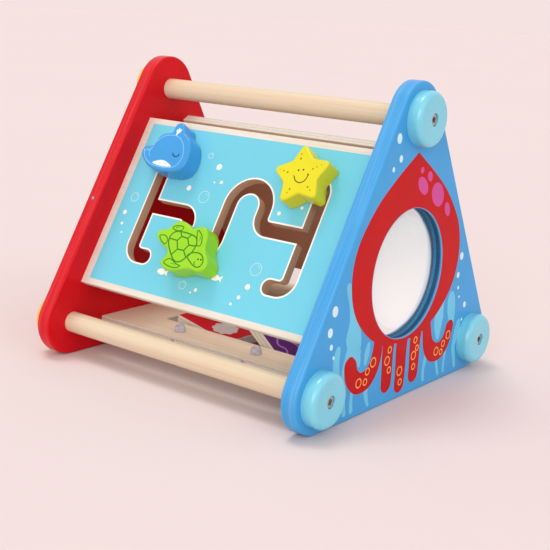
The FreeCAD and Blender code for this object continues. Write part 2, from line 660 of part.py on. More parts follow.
# Rails with their inserts, caps and cap screws.
for name, centre in RAIL_CENTRES.items():
    rail_label = "carry_rail" if name == "top" else name + "_rail"
    keep(rail(rail_label, centre), rail_label)
rail_end = BOARD_FACE + size("rail_socket_depth") - size("seat_gap")
screw_seat = CAP_SEAT + size("cap_thickness") - size("screw_head_height") - size("head_sink")
insert_master = threaded_insert()
screw_master = socket_screw("cap_screw", "sizes.screw_diameter", SCREW_LENGTH, SCREW_HEAD,
                            "sizes.screw_head_height", "sizes.hex_socket_width", "sizes.hex_socket_depth")
for color, sign, outward, inward in (("blue", 1, TO_PLUS_X, TO_MINUS_X), ("red", -1, TO_MINUS_X, TO_PLUS_X)):
    for name, centre in RAIL_CENTRES.items():
        cap_label = "%s_side_%s_cap" % (color, name)
        keep(end_cap(cap_label, Placement(Vector(sign * CAP_SEAT, *centre), outward)), cap_label)
    seats = [Placement(Vector(sign * screw_seat, *centre), inward) for centre in RAIL_CENTRES.values()]
    screws_label = color + "_side_cap_screws"
    keep(copies(screws_label, screw_master, seats), screws_label)
    ends = [Placement(Vector(sign * rail_end, *centre), inward) for centre in RAIL_CENTRES.values()]
    inserts_label = color + "_side_inserts"
    keep(copies(inserts_label, insert_master, ends), inserts_label)

# Panels.
keep(maze_panel(), "maze_panel")
rear = keep(panel_blank("rear_panel"), "rear_panel")
rear.Placement = slope_placement("rear", along=size("rail_spacing") / 2, out=size("panel_setback"))
keep(base_panel(), "base_panel")

# Flip doors on their pins, and the two clear domes.
DOORS = (("red", -1, size("first_door_tilt")), ("purple", 1, size("second_door_tilt")))
for color, sign, tilt in DOORS:
    place = sign * size("door_centre")
    keep(flip_door(color + "_flip_door", place, tilt), color + "_flip_door")
    keep(door_pins(color + "_door_pins", place), color + "_door_pins")
DOME_PLACES = (-39.5, 34.0)
keep(group("clear_domes", [domed_stud(x) for x in DOME_PLACES]), "clear_domes")

# Sliders: a block in front of the maze, a runner in its track and a screw that joins them.
slider_screw_master = socket_screw(
    "slider_screw", "sizes.slider_screw",
    "sizes.seat_gap + sizes.runner_flange_thickness + sizes.runner_float + sizes.panel_thickness"
    " + sizes.block_float + sizes.slider_screw_grip",
    SLIDER_SCREW_HEAD, "sizes.slider_screw_head_height",
    "sizes.slider_screw_key", "sizes.slider_screw_key_depth")
star_outline = rounded_star(STAR_TIP, STAR_NOTCH, STAR_TILT, STAR_TIP_ROUND, STAR_NOTCH_ROUND)
star_outline.translate(STAR_SHIFT)
SLIDERS = (
    ("whale", smooth_outline(WHALE), -size("track_hook_side") - 1.5, size("track_hook_rise")),
    ("star", star_outline, size("track_hook_side") + 1.0, size("track_hook_rise")),
    ("turtle", smooth_outline(TURTLE), -size("bend_radius"), -size("bend_rise") - size("bend_radius")),
)
for animal, outline, x, rise in SLIDERS:
    seat = slope_placement("front", x, size("rail_spacing") / 2 + rise, size("panel_setback"))
    keep(animal_block(animal + "_block", outline, seat), animal + "_block")
    keep(runner(animal + "_runner", seat), animal + "_runner")
    head_depth = size("runner_float") + size("runner_flange_thickness") + size("seat_gap")
    screw_place = seat * Placement(Vector(0, 0, -head_depth), Rotation())
    keep(copies(animal + "_screw", slider_screw_master, [screw_place]), animal + "_screw")

doc.recompute()
for item in doc.Objects:
    if "Invalid" in item.State or "Error" in item.State:
        raise RuntimeError("%s failed: %s" % (item.Label, item.State))
for item in nodes:
    shape = item.Shape
    if shape.isNull() or not shape.isValid() or not shape.Solids:
        raise RuntimeError("%s has no sound shape" % item.Label)
for item in nodes:
    item.Shape.exportStep("parts/%s.step" % item.Label)
    print("%-26s %2d solid(s) %10.1f mm3" % (item.Label, len(item.Shape.Solids), item.Shape.Volume))
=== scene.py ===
"""Finishes, printed pictures and stage for a triangular wooden activity box."""

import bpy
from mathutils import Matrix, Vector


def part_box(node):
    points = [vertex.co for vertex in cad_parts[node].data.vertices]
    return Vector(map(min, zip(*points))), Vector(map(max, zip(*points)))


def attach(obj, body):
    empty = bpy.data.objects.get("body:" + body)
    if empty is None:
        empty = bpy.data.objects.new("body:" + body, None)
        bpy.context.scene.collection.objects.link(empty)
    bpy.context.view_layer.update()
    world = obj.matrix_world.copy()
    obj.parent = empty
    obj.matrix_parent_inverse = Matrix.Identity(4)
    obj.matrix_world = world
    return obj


bl_info = {
    "name": "Triangular Activity Box",
    "version": (1, 0, 0),
    "blender": (4, 5, 0),
    "location": "3D View > Sidebar > Activity Box",
    "description": "Paint, wood, prints and a stage for a triangular wooden activity box",
    "category": "Object",
}

import math

import bpy
import numpy as np
from bpy.props import FloatProperty, FloatVectorProperty, PointerProperty
from mathutils import Matrix, Vector

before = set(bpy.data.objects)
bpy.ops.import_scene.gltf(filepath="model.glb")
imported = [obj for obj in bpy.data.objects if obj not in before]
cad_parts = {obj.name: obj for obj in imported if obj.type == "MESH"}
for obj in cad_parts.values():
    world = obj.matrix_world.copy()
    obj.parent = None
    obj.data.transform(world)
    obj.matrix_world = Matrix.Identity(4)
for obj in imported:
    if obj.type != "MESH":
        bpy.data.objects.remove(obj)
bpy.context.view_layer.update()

MM = 0.001
HALF_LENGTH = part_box("blue_end_board")[1][0]
SLOPE_UP = (0.0, 0.5, math.sqrt(3.0) / 2.0)
SLOPE_OUT = (0.0, -math.sqrt(3.0) / 2.0, 0.5)
WHITE = (1.0, 1.0, 1.0)

# The rails' spacing and height and the base panel's middle, in metres.
RAIL_SPACING, RAIL_HEIGHT, BASE_MIDDLE = 0.2, 0.025, 0.02035

# Panels, blocks and mirror, in millimetres. Levels are above the plane through the rails' centres.
PANEL_GAP, PANEL_HALF = 0.9, 3.75
MAZE_FACE, BLOCK_TOP = PANEL_GAP + 2 * PANEL_HALF, 23.4
MIRROR_HEIGHT, RECESS_RADIUS = 91.04, 46.0
INK_FOOT = -0.02

# The flip doors: half their thickness in millimetres, then each one's pivot in metres and its tilt
# in degrees.
DOOR_HALF = 4.5
DOORS = {"red_door": (-0.0338, 12.0), "purple_door": (0.0338, 40.0)}

# The maze's track about the panel's middle, in millimetres: half its width, how far out its sides
# run, its big bend, the turns of its branches and hooks by centre and radius, and a hook's end.
TRACK_HALF, SIDE_TRACK = 5.5, 73.0
BEND_RADIUS, BEND_DROP = 15.5, 13.7
BRANCH_TURN, HOOK_TURN = ((-39.0, -8.0), 8.0), ((64.5, 30.8), 8.5)
HOOK_END = (58.5, 39.3)
PRINT_HALF = (102.5, 65.2)


def paint(red, green, blue):
    """Linear colour from the usual 0 to 255 values."""
    values = np.array([red, green, blue]) / 255.0
    linear = np.where(values <= 0.04045, values / 12.92, ((values + 0.055) / 1.055) ** 2.4)
    return tuple(float(value) for value in linear)


def colour_setting(name, description, value):
    """Colour property with its default."""
    return FloatVectorProperty(
        name=name, description=description, subtype="COLOR", size=3, min=0.0, max=1.0, default=value
    )


def length_setting(name, description, value):
    """Length property in metres with its default."""
    return FloatProperty(
        name=name, description=description, subtype="DISTANCE", unit="LENGTH",
        min=0.0, precision=5, default=value,
    )


class PaintSettings(bpy.types.PropertyGroup):
    """Paint colours of the box, its caps and its doors."""

    blue_board: colour_setting("Blue board", "Paint of the mirror's end board", paint(66, 158, 218))
    red_board: colour_setting("Red board", "Paint of the plain end board", paint(208, 14, 26))
    pale_blue: colour_setting("Pale blue caps", "Caps at the mirror end", paint(116, 202, 223))
    amber: colour_setting("Amber caps", "Caps at the plain end", paint(240, 184, 48))
    dark_red: colour_setting("Dark red door", "Paint of the first door", paint(196, 24, 38))
    purple: colour_setting("Purple door", "Paint of the second door", paint(98, 40, 112))


class WoodSettings(bpy.types.PropertyGroup):
    """Bare wood of the rails and the panels."""

    rail_wood: colour_setting("Rail wood", "Light wood of the round rails", paint(226, 210, 183))
    rail_streak: colour_setting("Rail streaks", "Growth lines of the rails", paint(206, 162, 116))
    ply_face: colour_setting("Plywood face", "Sanded outer layer of the panels", paint(231, 226, 214))
    ply_dark: colour_setting("Plywood core", "Darker layers in the panels' edges", paint(204, 176, 144))
    panel_face: colour_setting("Plain panels", "Faces of the rear and base panels", paint(234, 207, 178))
    layer: length_setting("Layer thickness", "Thickness of one plywood layer", 1.5 * MM)


class PrintSettings(bpy.types.PropertyGroup):
    """Printed pictures."""

    sea: colour_setting("Sea", "Print on the maze face", paint(109, 199, 219))
    foam: colour_setting("Foam", "White lines, bubbles and fish", paint(244, 238, 226))
    octopus: colour_setting("Octopus", "Picture round the mirror", paint(192, 12, 16))
    octopus_spot: colour_setting("Octopus spots", "Spots on its head", paint(205, 78, 150))
    sucker: colour_setting("Suckers", "Rings on its arms", paint(246, 168, 84))
    seaweed: colour_setting("Seaweed", "Leaves behind the octopus", paint(112, 196, 228))
    door_shell: colour_setting("Door shells", "Shells on the first door", paint(196, 190, 188))
    door_wave: colour_setting("Door waves", "Wavy lines on the second door", paint(168, 120, 190))
    line_height: length_setting("Print height", "Thickness of the ink on its ground", 0.06 * MM)
    track_line: length_setting("Track line", "White line beside the track", 1.2 * MM)


class AnimalSettings(bpy.types.PropertyGroup):
    """Paint of the three sliding animals."""

    whale: colour_setting("Whale", "Body paint", paint(63, 151, 214))
    whale_line: colour_setting("Whale lines", "Light lines on the whale", paint(132, 194, 238))
    star: colour_setting("Star", "Body paint", paint(221, 212, 32))
    star_dot: colour_setting("Star dots", "Dots on the arms", paint(186, 120, 16))
    turtle: colour_setting("Turtle", "Body paint", paint(150, 211, 34))
    turtle_line: colour_setting("Turtle lines", "Lines on the shell", paint(58, 132, 34))
    dark_line: colour_setting("Star face", "Eyes and mouth of the star", paint(104, 64, 12))
    whale_white: colour_setting("Whale belly", "Belly and spout of the whale", paint(226, 238, 244))
    whale_eye: colour_setting("Whale eye", "Closed eye of the whale", paint(22, 60, 110))
    turtle_face: colour_setting("Turtle face", "Eyes and mouth of the turtle", paint(30, 84, 24))


class StageSettings(bpy.types.PropertyGroup):
    """Floor, light and camera."""

    floor: colour_setting("Floor", "Pale floor", paint(245, 227, 225))
    backdrop: colour_setting("Backdrop", "What shows beyond the floor", paint(245, 227, 225))
    lens: FloatProperty(name="Lens", description="Focal length on a 36 mm sensor", default=71.48,
                        min=10.0, max=300.0, subtype="DISTANCE_CAMERA")


# ---------------------------------------------------------------- shapes


def smooth_path(points, closed=False, steps=12):
    """Smooth curve through a few points: on each span the position is the cubic blend of its two
    ends and their two neighbours, with weights that give a slope of half the neighbours' distance."""
    knots = np.asarray(points, float)
    if closed:
        padded = np.concatenate([knots[-1:], knots, knots[:2]])
    else:
        padded = np.concatenate([2 * knots[:1] - knots[1:2], knots, 2 * knots[-1:] - knots[-2:-1]])
    a, b, c, d = padded[:-3, None], padded[1:-2, None], padded[2:-1, None], padded[3:, None]
    t = (np.arange(steps) / steps)[None, :, None]
    curve = 0.5 * (2 * b + (c - a) * t + (2 * a - 5 * b + 4 * c - d) * t**2
                   + (3 * b - a - 3 * c + d) * t**3)
    curve = curve.reshape(-1, knots.shape[1])
    return curve if closed else np.concatenate([curve, knots[-1:]])


def broken_path(points, steps=6):
    """Straight runs between points, each cut into equal steps."""
    knots = np.asarray(points, float)
    t = (np.arange(steps) / steps)[None, :, None]
    runs = knots[:-1, None] * (1 - t) + knots[1:, None] * t
    return np.concatenate([runs.reshape(-1, knots.shape[1]), knots[-1:]])


def stroke(path, width, height, round_start=True):
    """Flat stroke: a low box profile carried along the path. Its half width is the given width
    times a quarter ellipse over the last half width at its end, so that the tip is round, and the
    same at its start unless that is cut square."""
    path = np.asarray(path, float)
    half = np.broadcast_to(np.asarray(width, float) / 2.0, (len(path),))
    run = np.concatenate([[0.0], np.cumsum(np.linalg.norm(np.diff(path, axis=0), axis=1))])
    curl = 1 - np.cos(np.linspace(0, math.pi / 2, 9))
    lead = curl * half[0] if round_start else np.array([0.0, 0.0])
    tail = run[-1] - curl[::-1] * half[-1]
    inner = run[(run > lead[-1] + 1e-6) & (run < tail[0] - 1e-6)]
    stations = np.concatenate([lead, inner, tail])
    start = np.clip(stations / half[0], 0, 1) if round_start else np.ones(len(stations))
    end = np.clip((run[-1] - stations) / half[-1], 0, 1)
    half = np.interp(stations, run, half) * np.sqrt(1 - (1 - start) ** 2) * np.sqrt(1 - (1 - end) ** 2)
    slopes = np.gradient(path, run, axis=0)
    path = np.stack([np.interp(stations, run, path[:, k]) for k in range(2)], axis=1)
    slope = np.stack([np.interp(stations, run, slopes[:, k]) for k in range(2)], axis=1)
    slope /= np.maximum(np.linalg.norm(slope, axis=1, keepdims=True), 1e-9)
    side = np.stack([-slope[:, 1], slope[:, 0]], axis=1)
    left, right = path + side * half[:, None], path - side * half[:, None]
    low, high = np.full((len(path), 1), INK_FOOT), np.full((len(path), 1), height)
    grid = np.stack([np.hstack([left, low]), np.hstack([left, high]),
                     np.hstack([right, high]), np.hstack([right, low])], axis=1)
    return grid, False


def loop_line(path, width, height):
    """Closed line: the same low box profile carried round a closed path."""
    path = np.asarray(path, float)
    slope = np.roll(path, -1, axis=0) - np.roll(path, 1, axis=0)
    slope /= np.maximum(np.linalg.norm(slope, axis=1, keepdims=True), 1e-9)
    side = np.stack([-slope[:, 1], slope[:, 0]], axis=1) * width / 2.0
    left, right = path + side, path - side
    low, high = np.full((len(path), 1), INK_FOOT), np.full((len(path), 1), height)
    grid = np.stack([np.hstack([left, low]), np.hstack([left, high]),
                     np.hstack([right, high]), np.hstack([right, low])], axis=1)
    return grid, True


def patch(outline, height, centre=None):
    """Filled patch: rows go from the middle of the top out to the outline, down its rim and back to
    the middle of the underside; columns follow the outline."""
    outline = np.asarray(outline, float)
    middle = outline.mean(axis=0) if centre is None else np.asarray(centre, float)
    reach = np.array([0.0, 0.55, 0.98, 1.0, 1.0, 0.0])[:, None, None]
    level = np.array([height, height, height, height - 0.01, INK_FOOT, INK_FOOT])[:, None, None]
    flat = middle + (outline - middle)[None] * reach
    return np.concatenate([flat, np.broadcast_to(level, flat.shape[:2] + (1,))], axis=2), False


def brush(points, width, height):
    """Stroke of one width along a smooth curve."""
    return stroke(smooth_path(points), width, height)


def tapered(points, widths, height, round_start=True):
    """Stroke along a smooth curve, its widths spread evenly from the curve's start to its end."""
    path = smooth_path(points)
    wide = np.interp(np.linspace(0, 1, len(path)), np.linspace(0, 1, len(widths)), widths)
    return stroke(path, wide, height, round_start)


def contour(points, width, height):
    """Closed line round a smooth outline."""
    return loop_line(smooth_path(points, closed=True, steps=6), width, height)


def blob(points, height, steps=6):
    """Filled patch with a smooth outline."""
    return patch(smooth_path(points, closed=True, steps=steps), height)


def full_turn(count):
    """Angles of a full turn in equal steps."""
    return np.arange(count) / count * 2 * math.pi


def circle(u, v, radius, tall=1.0, lean=0.0):
    """Round or oval outline about a place, leaning by an angle in degrees."""
    turn = full_turn(40)
    across, up, lean = radius * np.cos(turn), radius * tall * np.sin(turn), math.radians(lean)
    return np.stack([u + across * math.cos(lean) - up * math.sin(lean),
                     v + across * math.sin(lean) + up * math.cos(lean)], axis=1)


def washer(inner, outer, height):
    """Band between two closed outlines with the same number of points."""
    rim = [(inner, INK_FOOT), (inner, height), (outer, height), (outer, INK_FOOT)]
    columns = [np.hstack([line, np.full((len(line), 1), level)]) for line, level in rim]
    return np.stack(columns, axis=1), True


def shell(grid, ring):
    """Vertices and faces of one closed surface. Columns run round the section and always close;
    rows run along the path and close in a ring, or end in one point each."""
    rows, columns = grid.shape[:2]
    index = np.arange(rows * columns).reshape(rows, columns)
    across = np.roll(index, -1, axis=1)
    if ring:
        nxt, nxt_across = np.roll(index, -1, axis=0), np.roll(across, -1, axis=0)
        quads = np.stack([index, across, nxt_across, nxt], axis=2).reshape(-1, 4)
        return grid.reshape(-1, 3), [tuple(face) for face in quads.tolist()]
    tips = np.stack([grid[0].mean(axis=0), grid[-1].mean(axis=0)])
    points = np.concatenate([grid.reshape(-1, 3), tips])
    quads = np.stack([index[:-1], across[:-1], across[1:], index[1:]], axis=2)[1:-1].reshape(-1, 4)
    first, last = rows * columns, rows * columns + 1
    start = np.stack([np.full(columns, first), across[1], index[1]], axis=1)
    finish = np.stack([np.full(columns, last), index[-2], across[-2]], axis=1)
    used = np.concatenate([index[1:-1].ravel(), [first, last]])
    renumber = np.full(len(points), -1)
    renumber[used] = np.arange(len(used))
    faces = [tuple(face) for face in renumber[quads].tolist()]
    faces += [tuple(face) for face in renumber[start].tolist() + renumber[finish].tolist()]
    return points[used], faces


def place(flat, ground):
    """Millimetres across, up and out of a ground plane turned into metres in the box's frame."""
    origin, across, up, out = (np.asarray(part, float) for part in ground)
    flat = flat * MM
    return origin + flat[:, :1] * across + flat[:, 1:2] * up + flat[:, 2:3] * out


def face_volume(points, faces):
    """Sum over the faces of the signed volume under each, by fans from its first corner."""
    total = 0.0
    for corners in (3, 4):
        chosen = np.array([face for face in faces if len(face) == corners], int).reshape(-1, corners)
        for k in range(1, corners - 1):
            first, second, third = (points[chosen[:, column]] for column in (0, k, k + 1))
            total += np.einsum("ij,ij->i", first, np.cross(second, third)).sum()
    return total


def printed(name, pieces, ground, body, material):
    """One mesh of closed flat pieces on a ground plane, riding on a body."""
    points, faces, count = [], [], 0
    for grid, ring in pieces:
        local, quads = shell(grid, ring)
        solid = place(local, ground)
        middle = solid.mean(axis=0)
        if face_volume(solid - middle, quads) < 0:
            quads = [face[::-1] for face in quads]
        points.append(solid)
        faces += [tuple(corner + count for corner in face) for face in quads]
        count += len(solid)
    mesh = bpy.data.meshes.new(name)
    mesh.from_pydata(np.concatenate(points).tolist(), [], faces)
    mesh.validate()
    mesh.materials.append(material)
    piece = bpy.data.objects.new(name, mesh)
    bpy.context.scene.collection.objects.link(piece)
    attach(piece, body)


# ---------------------------------------------------------------- grounds


def maze_ground(out):
    """Plane over the maze at a level out from the rails' centres: across, up the slope and out."""
    half, up, outward = RAIL_SPACING / 2, np.array(SLOPE_UP), np.array(SLOPE_OUT)
    middle = np.array([0.0, -half, RAIL_HEIGHT]) + half * up + out * MM * outward
    return middle, (1.0, 0.0, 0.0), SLOPE_UP, SLOPE_OUT


def end_ground():
    """Plane of the mirror end's outer face: across to the rear, up, out along the rails."""
    return (HALF_LENGTH, 0.0, 0.0), (0.0, 1.0, 0.0), (0.0, 0.0, 1.0), (1.0, 0.0, 0.0)


def door_ground(door, out=0.0):
    """Plane of a flip door as it rests, through its pivot or at a distance out from it. Below the
    pivot the plane faces the other way."""
    x, tilt = DOORS[door]
    turn, side = math.radians(tilt), 1.0 if out >= 0 else -1.0
    across = np.array([math.cos(turn), 0.0, -math.sin(turn)])
    normal = np.array([math.sin(turn), 0.0, math.cos(turn)])
    origin = np.array([x, 0.0, BASE_MIDDLE]) + normal * out * MM
    return origin, across * side, (0.0, 1.0, 0.0), normal * side


# ---------------------------------------------------------------- finishes


class Finish:
    """One material and the nodes that feed its shader."""

    def __init__(self, name):
        self.material = bpy.data.materials.new(name)
        self.material.use_nodes = True
        self.tree = self.material.node_tree
        self.shader = next(node for node in self.tree.nodes if node.type == "BSDF_PRINCIPLED")
        self.where = self.tree.nodes.new("ShaderNodeTexCoord")

    def put(self, socket, value):
        """Join a socket to another, or set its value."""
        if isinstance(value, bpy.types.NodeSocket):
            self.tree.links.new(value, socket)
        elif value is not None:
            socket.default_value = value

    def math(self, operation, first, second=None):
        """Arithmetic node."""
        node = self.tree.nodes.new("ShaderNodeMath")
        node.operation = operation
        self.put(node.inputs[0], first)
        self.put(node.inputs[1], second)
        return node.outputs[0]

    def plus(self, first, second):
        """Sum of two numbers."""
        return self.math("ADD", first, second)

    def minus(self, first, second):
        """Difference of two numbers."""
        return self.math("SUBTRACT", first, second)

    def times(self, first, second):
        """Product of two numbers."""
        return self.math("MULTIPLY", first, second)

    def hypot(self, first, second):
        """Length of two parts at right angles."""
        return self.math("SQRT", self.plus(self.times(first, first), self.times(second, second)))

    def choose(self, test, if_one, if_zero):
        """One of two numbers by a test that is 1 or 0."""
        return self.plus(self.times(test, if_one), self.times(self.minus(1.0, test), if_zero))

    def vector(self, operation, first, second):
        """Vector arithmetic node; a dot product gives a number."""
        node = self.tree.nodes.new("ShaderNodeVectorMath")
        node.operation = operation
        self.put(node.inputs[0], first)
        self.put(node.inputs[1], second)
        return node.outputs["Value" if operation == "DOT_PRODUCT" else "Vector"]

    def along(self, direction, origin=(0.0, 0.0, 0.0)):
        """Millimetres along a direction from an origin, at each place on the piece."""
        offset = self.vector("SUBTRACT", self.where.outputs["Object"], tuple(origin))
        return self.times(self.vector("DOT_PRODUCT", offset, tuple(direction)), 1.0 / MM)

    def turned(self, direction):
        """How far the surface faces along a direction, from -1 to 1."""
        return self.vector("DOT_PRODUCT", self.where.outputs["Normal"], tuple(direction))

    def facing(self, direction):
        """How far the surface faces along a direction, either way, from 0 to 1."""
        return self.math("ABSOLUTE", self.turned(direction))

    def noise(self, scale, stretch=(1.0, 1.0, 1.0), detail=3.0, rough=0.55):
        """Noise on the piece's own coordinates, stretched along its axes."""
        mapping = self.tree.nodes.new("ShaderNodeMapping")
        mapping.inputs["Scale"].default_value = stretch
        self.put(mapping.inputs["Vector"], self.where.outputs["Object"])
        node = self.tree.nodes.new("ShaderNodeTexNoise")
        node.inputs["Scale"].default_value = scale
        node.inputs["Detail"].default_value = detail
        node.inputs["Roughness"].default_value = rough
        self.put(node.inputs["Vector"], mapping.outputs["Vector"])
        return node.outputs["Fac"]

    def spread(self, value, low, high, to_low=0.0, to_high=1.0, smooth=False):
        """Map a range of a value to another range, held at its ends."""
        node = self.tree.nodes.new("ShaderNodeMapRange")
        node.interpolation_type = "SMOOTHSTEP" if smooth else "LINEAR"
        self.put(node.inputs["Value"], value)
        ends = (("From Min", low), ("From Max", high), ("To Min", to_low), ("To Max", to_high))
        for socket, number in ends:
            node.inputs[socket].default_value = number
        return node.outputs["Result"]

    def cloud(self, scale, low=0.0, high=1.0, detail=3.0):
        """Soft noise that varies between two numbers."""
        return self.spread(self.noise(scale, detail=detail), 0.3, 0.7, low, high)

    def band(self, distance, edge, blur=0.08):
        """1 within a distance of an edge and 0 beyond it, with a narrow blur between."""
        return self.spread(distance, edge - blur, edge + blur, 1.0, 0.0)

    def blend(self, share, first, second):
        """Colour mix."""
        node = self.tree.nodes.new("ShaderNodeMix")
        node.data_type = "RGBA"
        self.put(node.inputs["Factor"], share)
        colours = [socket for socket in node.inputs if socket.type == "RGBA"]
        for socket, value in zip(colours, (first, second)):
            self.put(socket, value if isinstance(value, bpy.types.NodeSocket) else (*value, 1.0))
        return next(socket for socket in node.outputs if socket.type == "RGBA")

    def specks(self, tone, colour, scale, start, share):
        """Fine pale specks over a tone; the noise above a start shows, up to a share."""
        speck = self.spread(self.noise(scale, detail=2.0), start, 0.75, 0.0, share)
        return self.blend(speck, tone, toward(colour, WHITE, 0.3))

    def sharp_edges(self, radius):
        """Mask of sharp edges: how far a normal rounded over a radius turns away from the true one."""
        bevel = self.tree.nodes.new("ShaderNodeBevel")
        bevel.samples = 6
        bevel.inputs["Radius"].default_value = radius
        shape = self.tree.nodes.new("ShaderNodeNewGeometry")
        match = self.vector("DOT_PRODUCT", bevel.outputs["Normal"], shape.outputs["Normal"])
        return self.spread(self.minus(1.0, match), 0.02, 0.25)

    def bump(self, height, depth, strength=1.0):
        """Surface relief of a depth in metres."""
        node = self.tree.nodes.new("ShaderNodeBump")
        node.inputs["Strength"].default_value = strength
        node.inputs["Distance"].default_value = depth
        self.put(node.inputs["Height"], height)
        self.put(self.shader.inputs["Normal"], node.outputs["Normal"])

    def set(self, **values):
        """Set or join the shader's sockets by name."""
        for name, value in values.items():
            self.put(self.shader.inputs[name.replace("_", " ")], value)


def shade(colour, amount):
    """Colour made lighter (above 1) or darker (below 1)."""
    return tuple(min(1.0, part * amount) for part in colour)


def toward(colour, other, share):
    """Colour part of the way to another."""
    return tuple(a * (1 - share) + b * share for a, b in zip(colour, other))


def from_mirror_axis(finish):
    """Distance from the line through the mirror's centre, in millimetres."""
    height = finish.minus(finish.along((0.0, 0.0, 1.0)), MIRROR_HEIGHT)
    return finish.hypot(finish.along((0.0, 1.0, 0.0)), height)


def rim_layers(finish, tone, colour, strength):
    """Fine pale and dark lines along a painted board's rim, where its layers show."""
    on_rim = finish.spread(finish.facing((1.0, 0.0, 0.0)), 0.3, 0.6, strength, 0.0)
    layers = finish.noise(1.0, stretch=(2300.0, 16.0, 16.0), detail=2.0, rough=0.5)
    for first, last, other in ((0.48, 0.66, WHITE), (0.5, 0.34, (0.0, 0.05, 0.12))):
        lines = finish.times(finish.spread(layers, first, last), on_rim)
        tone = finish.blend(lines, tone, toward(colour, other, 0.3))
    return tone


def painted_recess_shade(finish, tone, colour):
    """Painted shade on the wall of the mirror's recess, less of it in a paler line at its foot, and a
    mask of the wall.
    """
    depth = finish.along((-1.0, 0.0, 0.0), (HALF_LENGTH, 0.0, 0.0))
    near = finish.spread(from_mirror_axis(finish), RECESS_RADIUS + 0.15, RECESS_RADIUS + 0.3, 1.0, 0.0)
    wall = finish.times(near, finish.spread(depth, 0.5, 2.2))
    # Painted shade: the recess wall is darkened towards a dark copy of the board's colour.
    tone = finish.blend(finish.times(wall, 0.88), tone, shade(colour, 0.12))
    # Less of the painted shade at the wall's foot gives its paler line.
    foot = finish.times(wall, finish.spread(depth, 4.8, 5.1))
    return finish.blend(finish.times(foot, 0.45), tone, colour), wall


def painted_wood(name, colour, gloss, grain, rim=0.0, sheen=0.2, recess=False):
    """Satin paint over wood: slow tone changes, faint fibres under the paint, paler patches along sharp
    edges.
    A board's rim also shows its layers, and the wall of the mirror's recess gets painted shade."""
    finish = Finish(name)
    rough = finish.cloud(60.0, gloss - 0.05, gloss + 0.07)
    tone = finish.blend(finish.cloud(22.0, detail=2.0), shade(colour, 0.96), shade(colour, 1.04))
    fibre = finish.noise(1.0, stretch=grain, detail=4.0, rough=0.65)
    fibres = finish.spread(fibre, 0.5, 0.78, 0.0, 0.12)
    tone = finish.blend(fibres, tone, toward(colour, (0.02, 0.03, 0.05), 0.35))
    if rim:
        tone = rim_layers(finish, tone, colour, rim)
    # Painted shade on the wall of the mirror's recess, which is also made rough.
    if recess:
        tone, wall = painted_recess_shade(finish, tone, colour)
        rough = finish.math("MAXIMUM", rough, wall)
    tone = finish.specks(tone, colour, 900.0, 0.62, 0.12)
    # Paler in patches along sharp edges.
    patchy = finish.spread(finish.noise(150.0), 0.35, 0.7, 0.25, 0.75)
    pale_edges = finish.times(finish.sharp_edges(0.0011), patchy)
    tone = finish.blend(pale_edges, tone, toward(colour, WHITE, 0.25))
    finish.set(Base_Color=tone, Roughness=rough, Specular_IOR_Level=sheen,
               Coat_Weight=sheen * 0.5, Coat_Roughness=0.12)
    finish.bump(finish.plus(finish.times(fibre, 0.7), finish.noise(420.0, detail=2.0)), 0.00005, 0.5)
    return finish.material


def bare_grain(finish, light, dark, stretch, fine):
    """Pale wood colour: broad bands, growth lines and short dark flecks along the grain."""
    broad = finish.noise(1.0, stretch=stretch)
    tone = finish.blend(finish.spread(broad, 0.3, 0.72), shade(light, 0.97), toward(light, dark, 0.35))
    lines = finish.noise(1.0, stretch=tuple(part * 3.2 for part in stretch), detail=4.0, rough=0.7)
    tone = finish.blend(finish.spread(lines, 0.5, 0.72, 0.0, 0.42), tone, toward(light, dark, 0.75))
    fleck = finish.noise(1.0, stretch=fine, detail=2.0, rough=0.5)
    tone = finish.blend(finish.spread(fleck, 0.64, 0.78, 0.0, 0.4), tone, dark)
    return tone, finish.plus(lines, finish.times(fleck, 0.6))


def rail_wood(settings):
    """Turned rail: lacquered pale wood with its grain along the rail."""
    finish = Finish("rail_wood")
    tone, relief = bare_grain(finish, settings.rail_wood, settings.rail_streak,
                              (2.5, 240.0, 240.0), (40.0, 1100.0, 1100.0))
    finish.set(Base_Color=tone, Roughness=finish.spread(relief, 0.4, 1.2, 0.36, 0.52),
               Specular_IOR_Level=0.3, Coat_Weight=0.06, Coat_Roughness=0.3)
    finish.bump(relief, 0.00008, 0.5)
    return finish.material


def ply(finish, settings, out, middle, half, face):
    """Plywood: long grain on its faces, and thin layers of alternate grain in its edges. Gives its
    colour, its relief and a mask of its edges."""
    tone, relief = bare_grain(finish, face, settings.ply_dark, (7.0, 80.0, 80.0), (55.0, 800.0, 800.0))
    depth = finish.plus(finish.along(out, middle), half)
    layer = finish.math("FRACT", finish.math("DIVIDE", depth, settings.layer * 2.0 / MM))
    dark_layer = finish.spread(finish.math("ABSOLUTE", finish.minus(layer, 0.5)), 0.26, 0.36)
    pores = finish.noise(500.0)
    pale = toward(settings.ply_face, settings.ply_dark, 0.45)
    edge_dark = finish.blend(finish.spread(pores, 0.35, 0.7), pale, shade(pale, 0.88))
    edge_light = finish.blend(finish.spread(pores, 0.3, 0.7), settings.ply_face,
                              shade(settings.ply_face, 0.9))
    on_edge = finish.spread(finish.facing(out), 0.55, 0.75, 1.0, 0.0)
    tone = finish.blend(on_edge, tone, finish.blend(dark_layer, edge_light, edge_dark))
    return tone, relief, on_edge


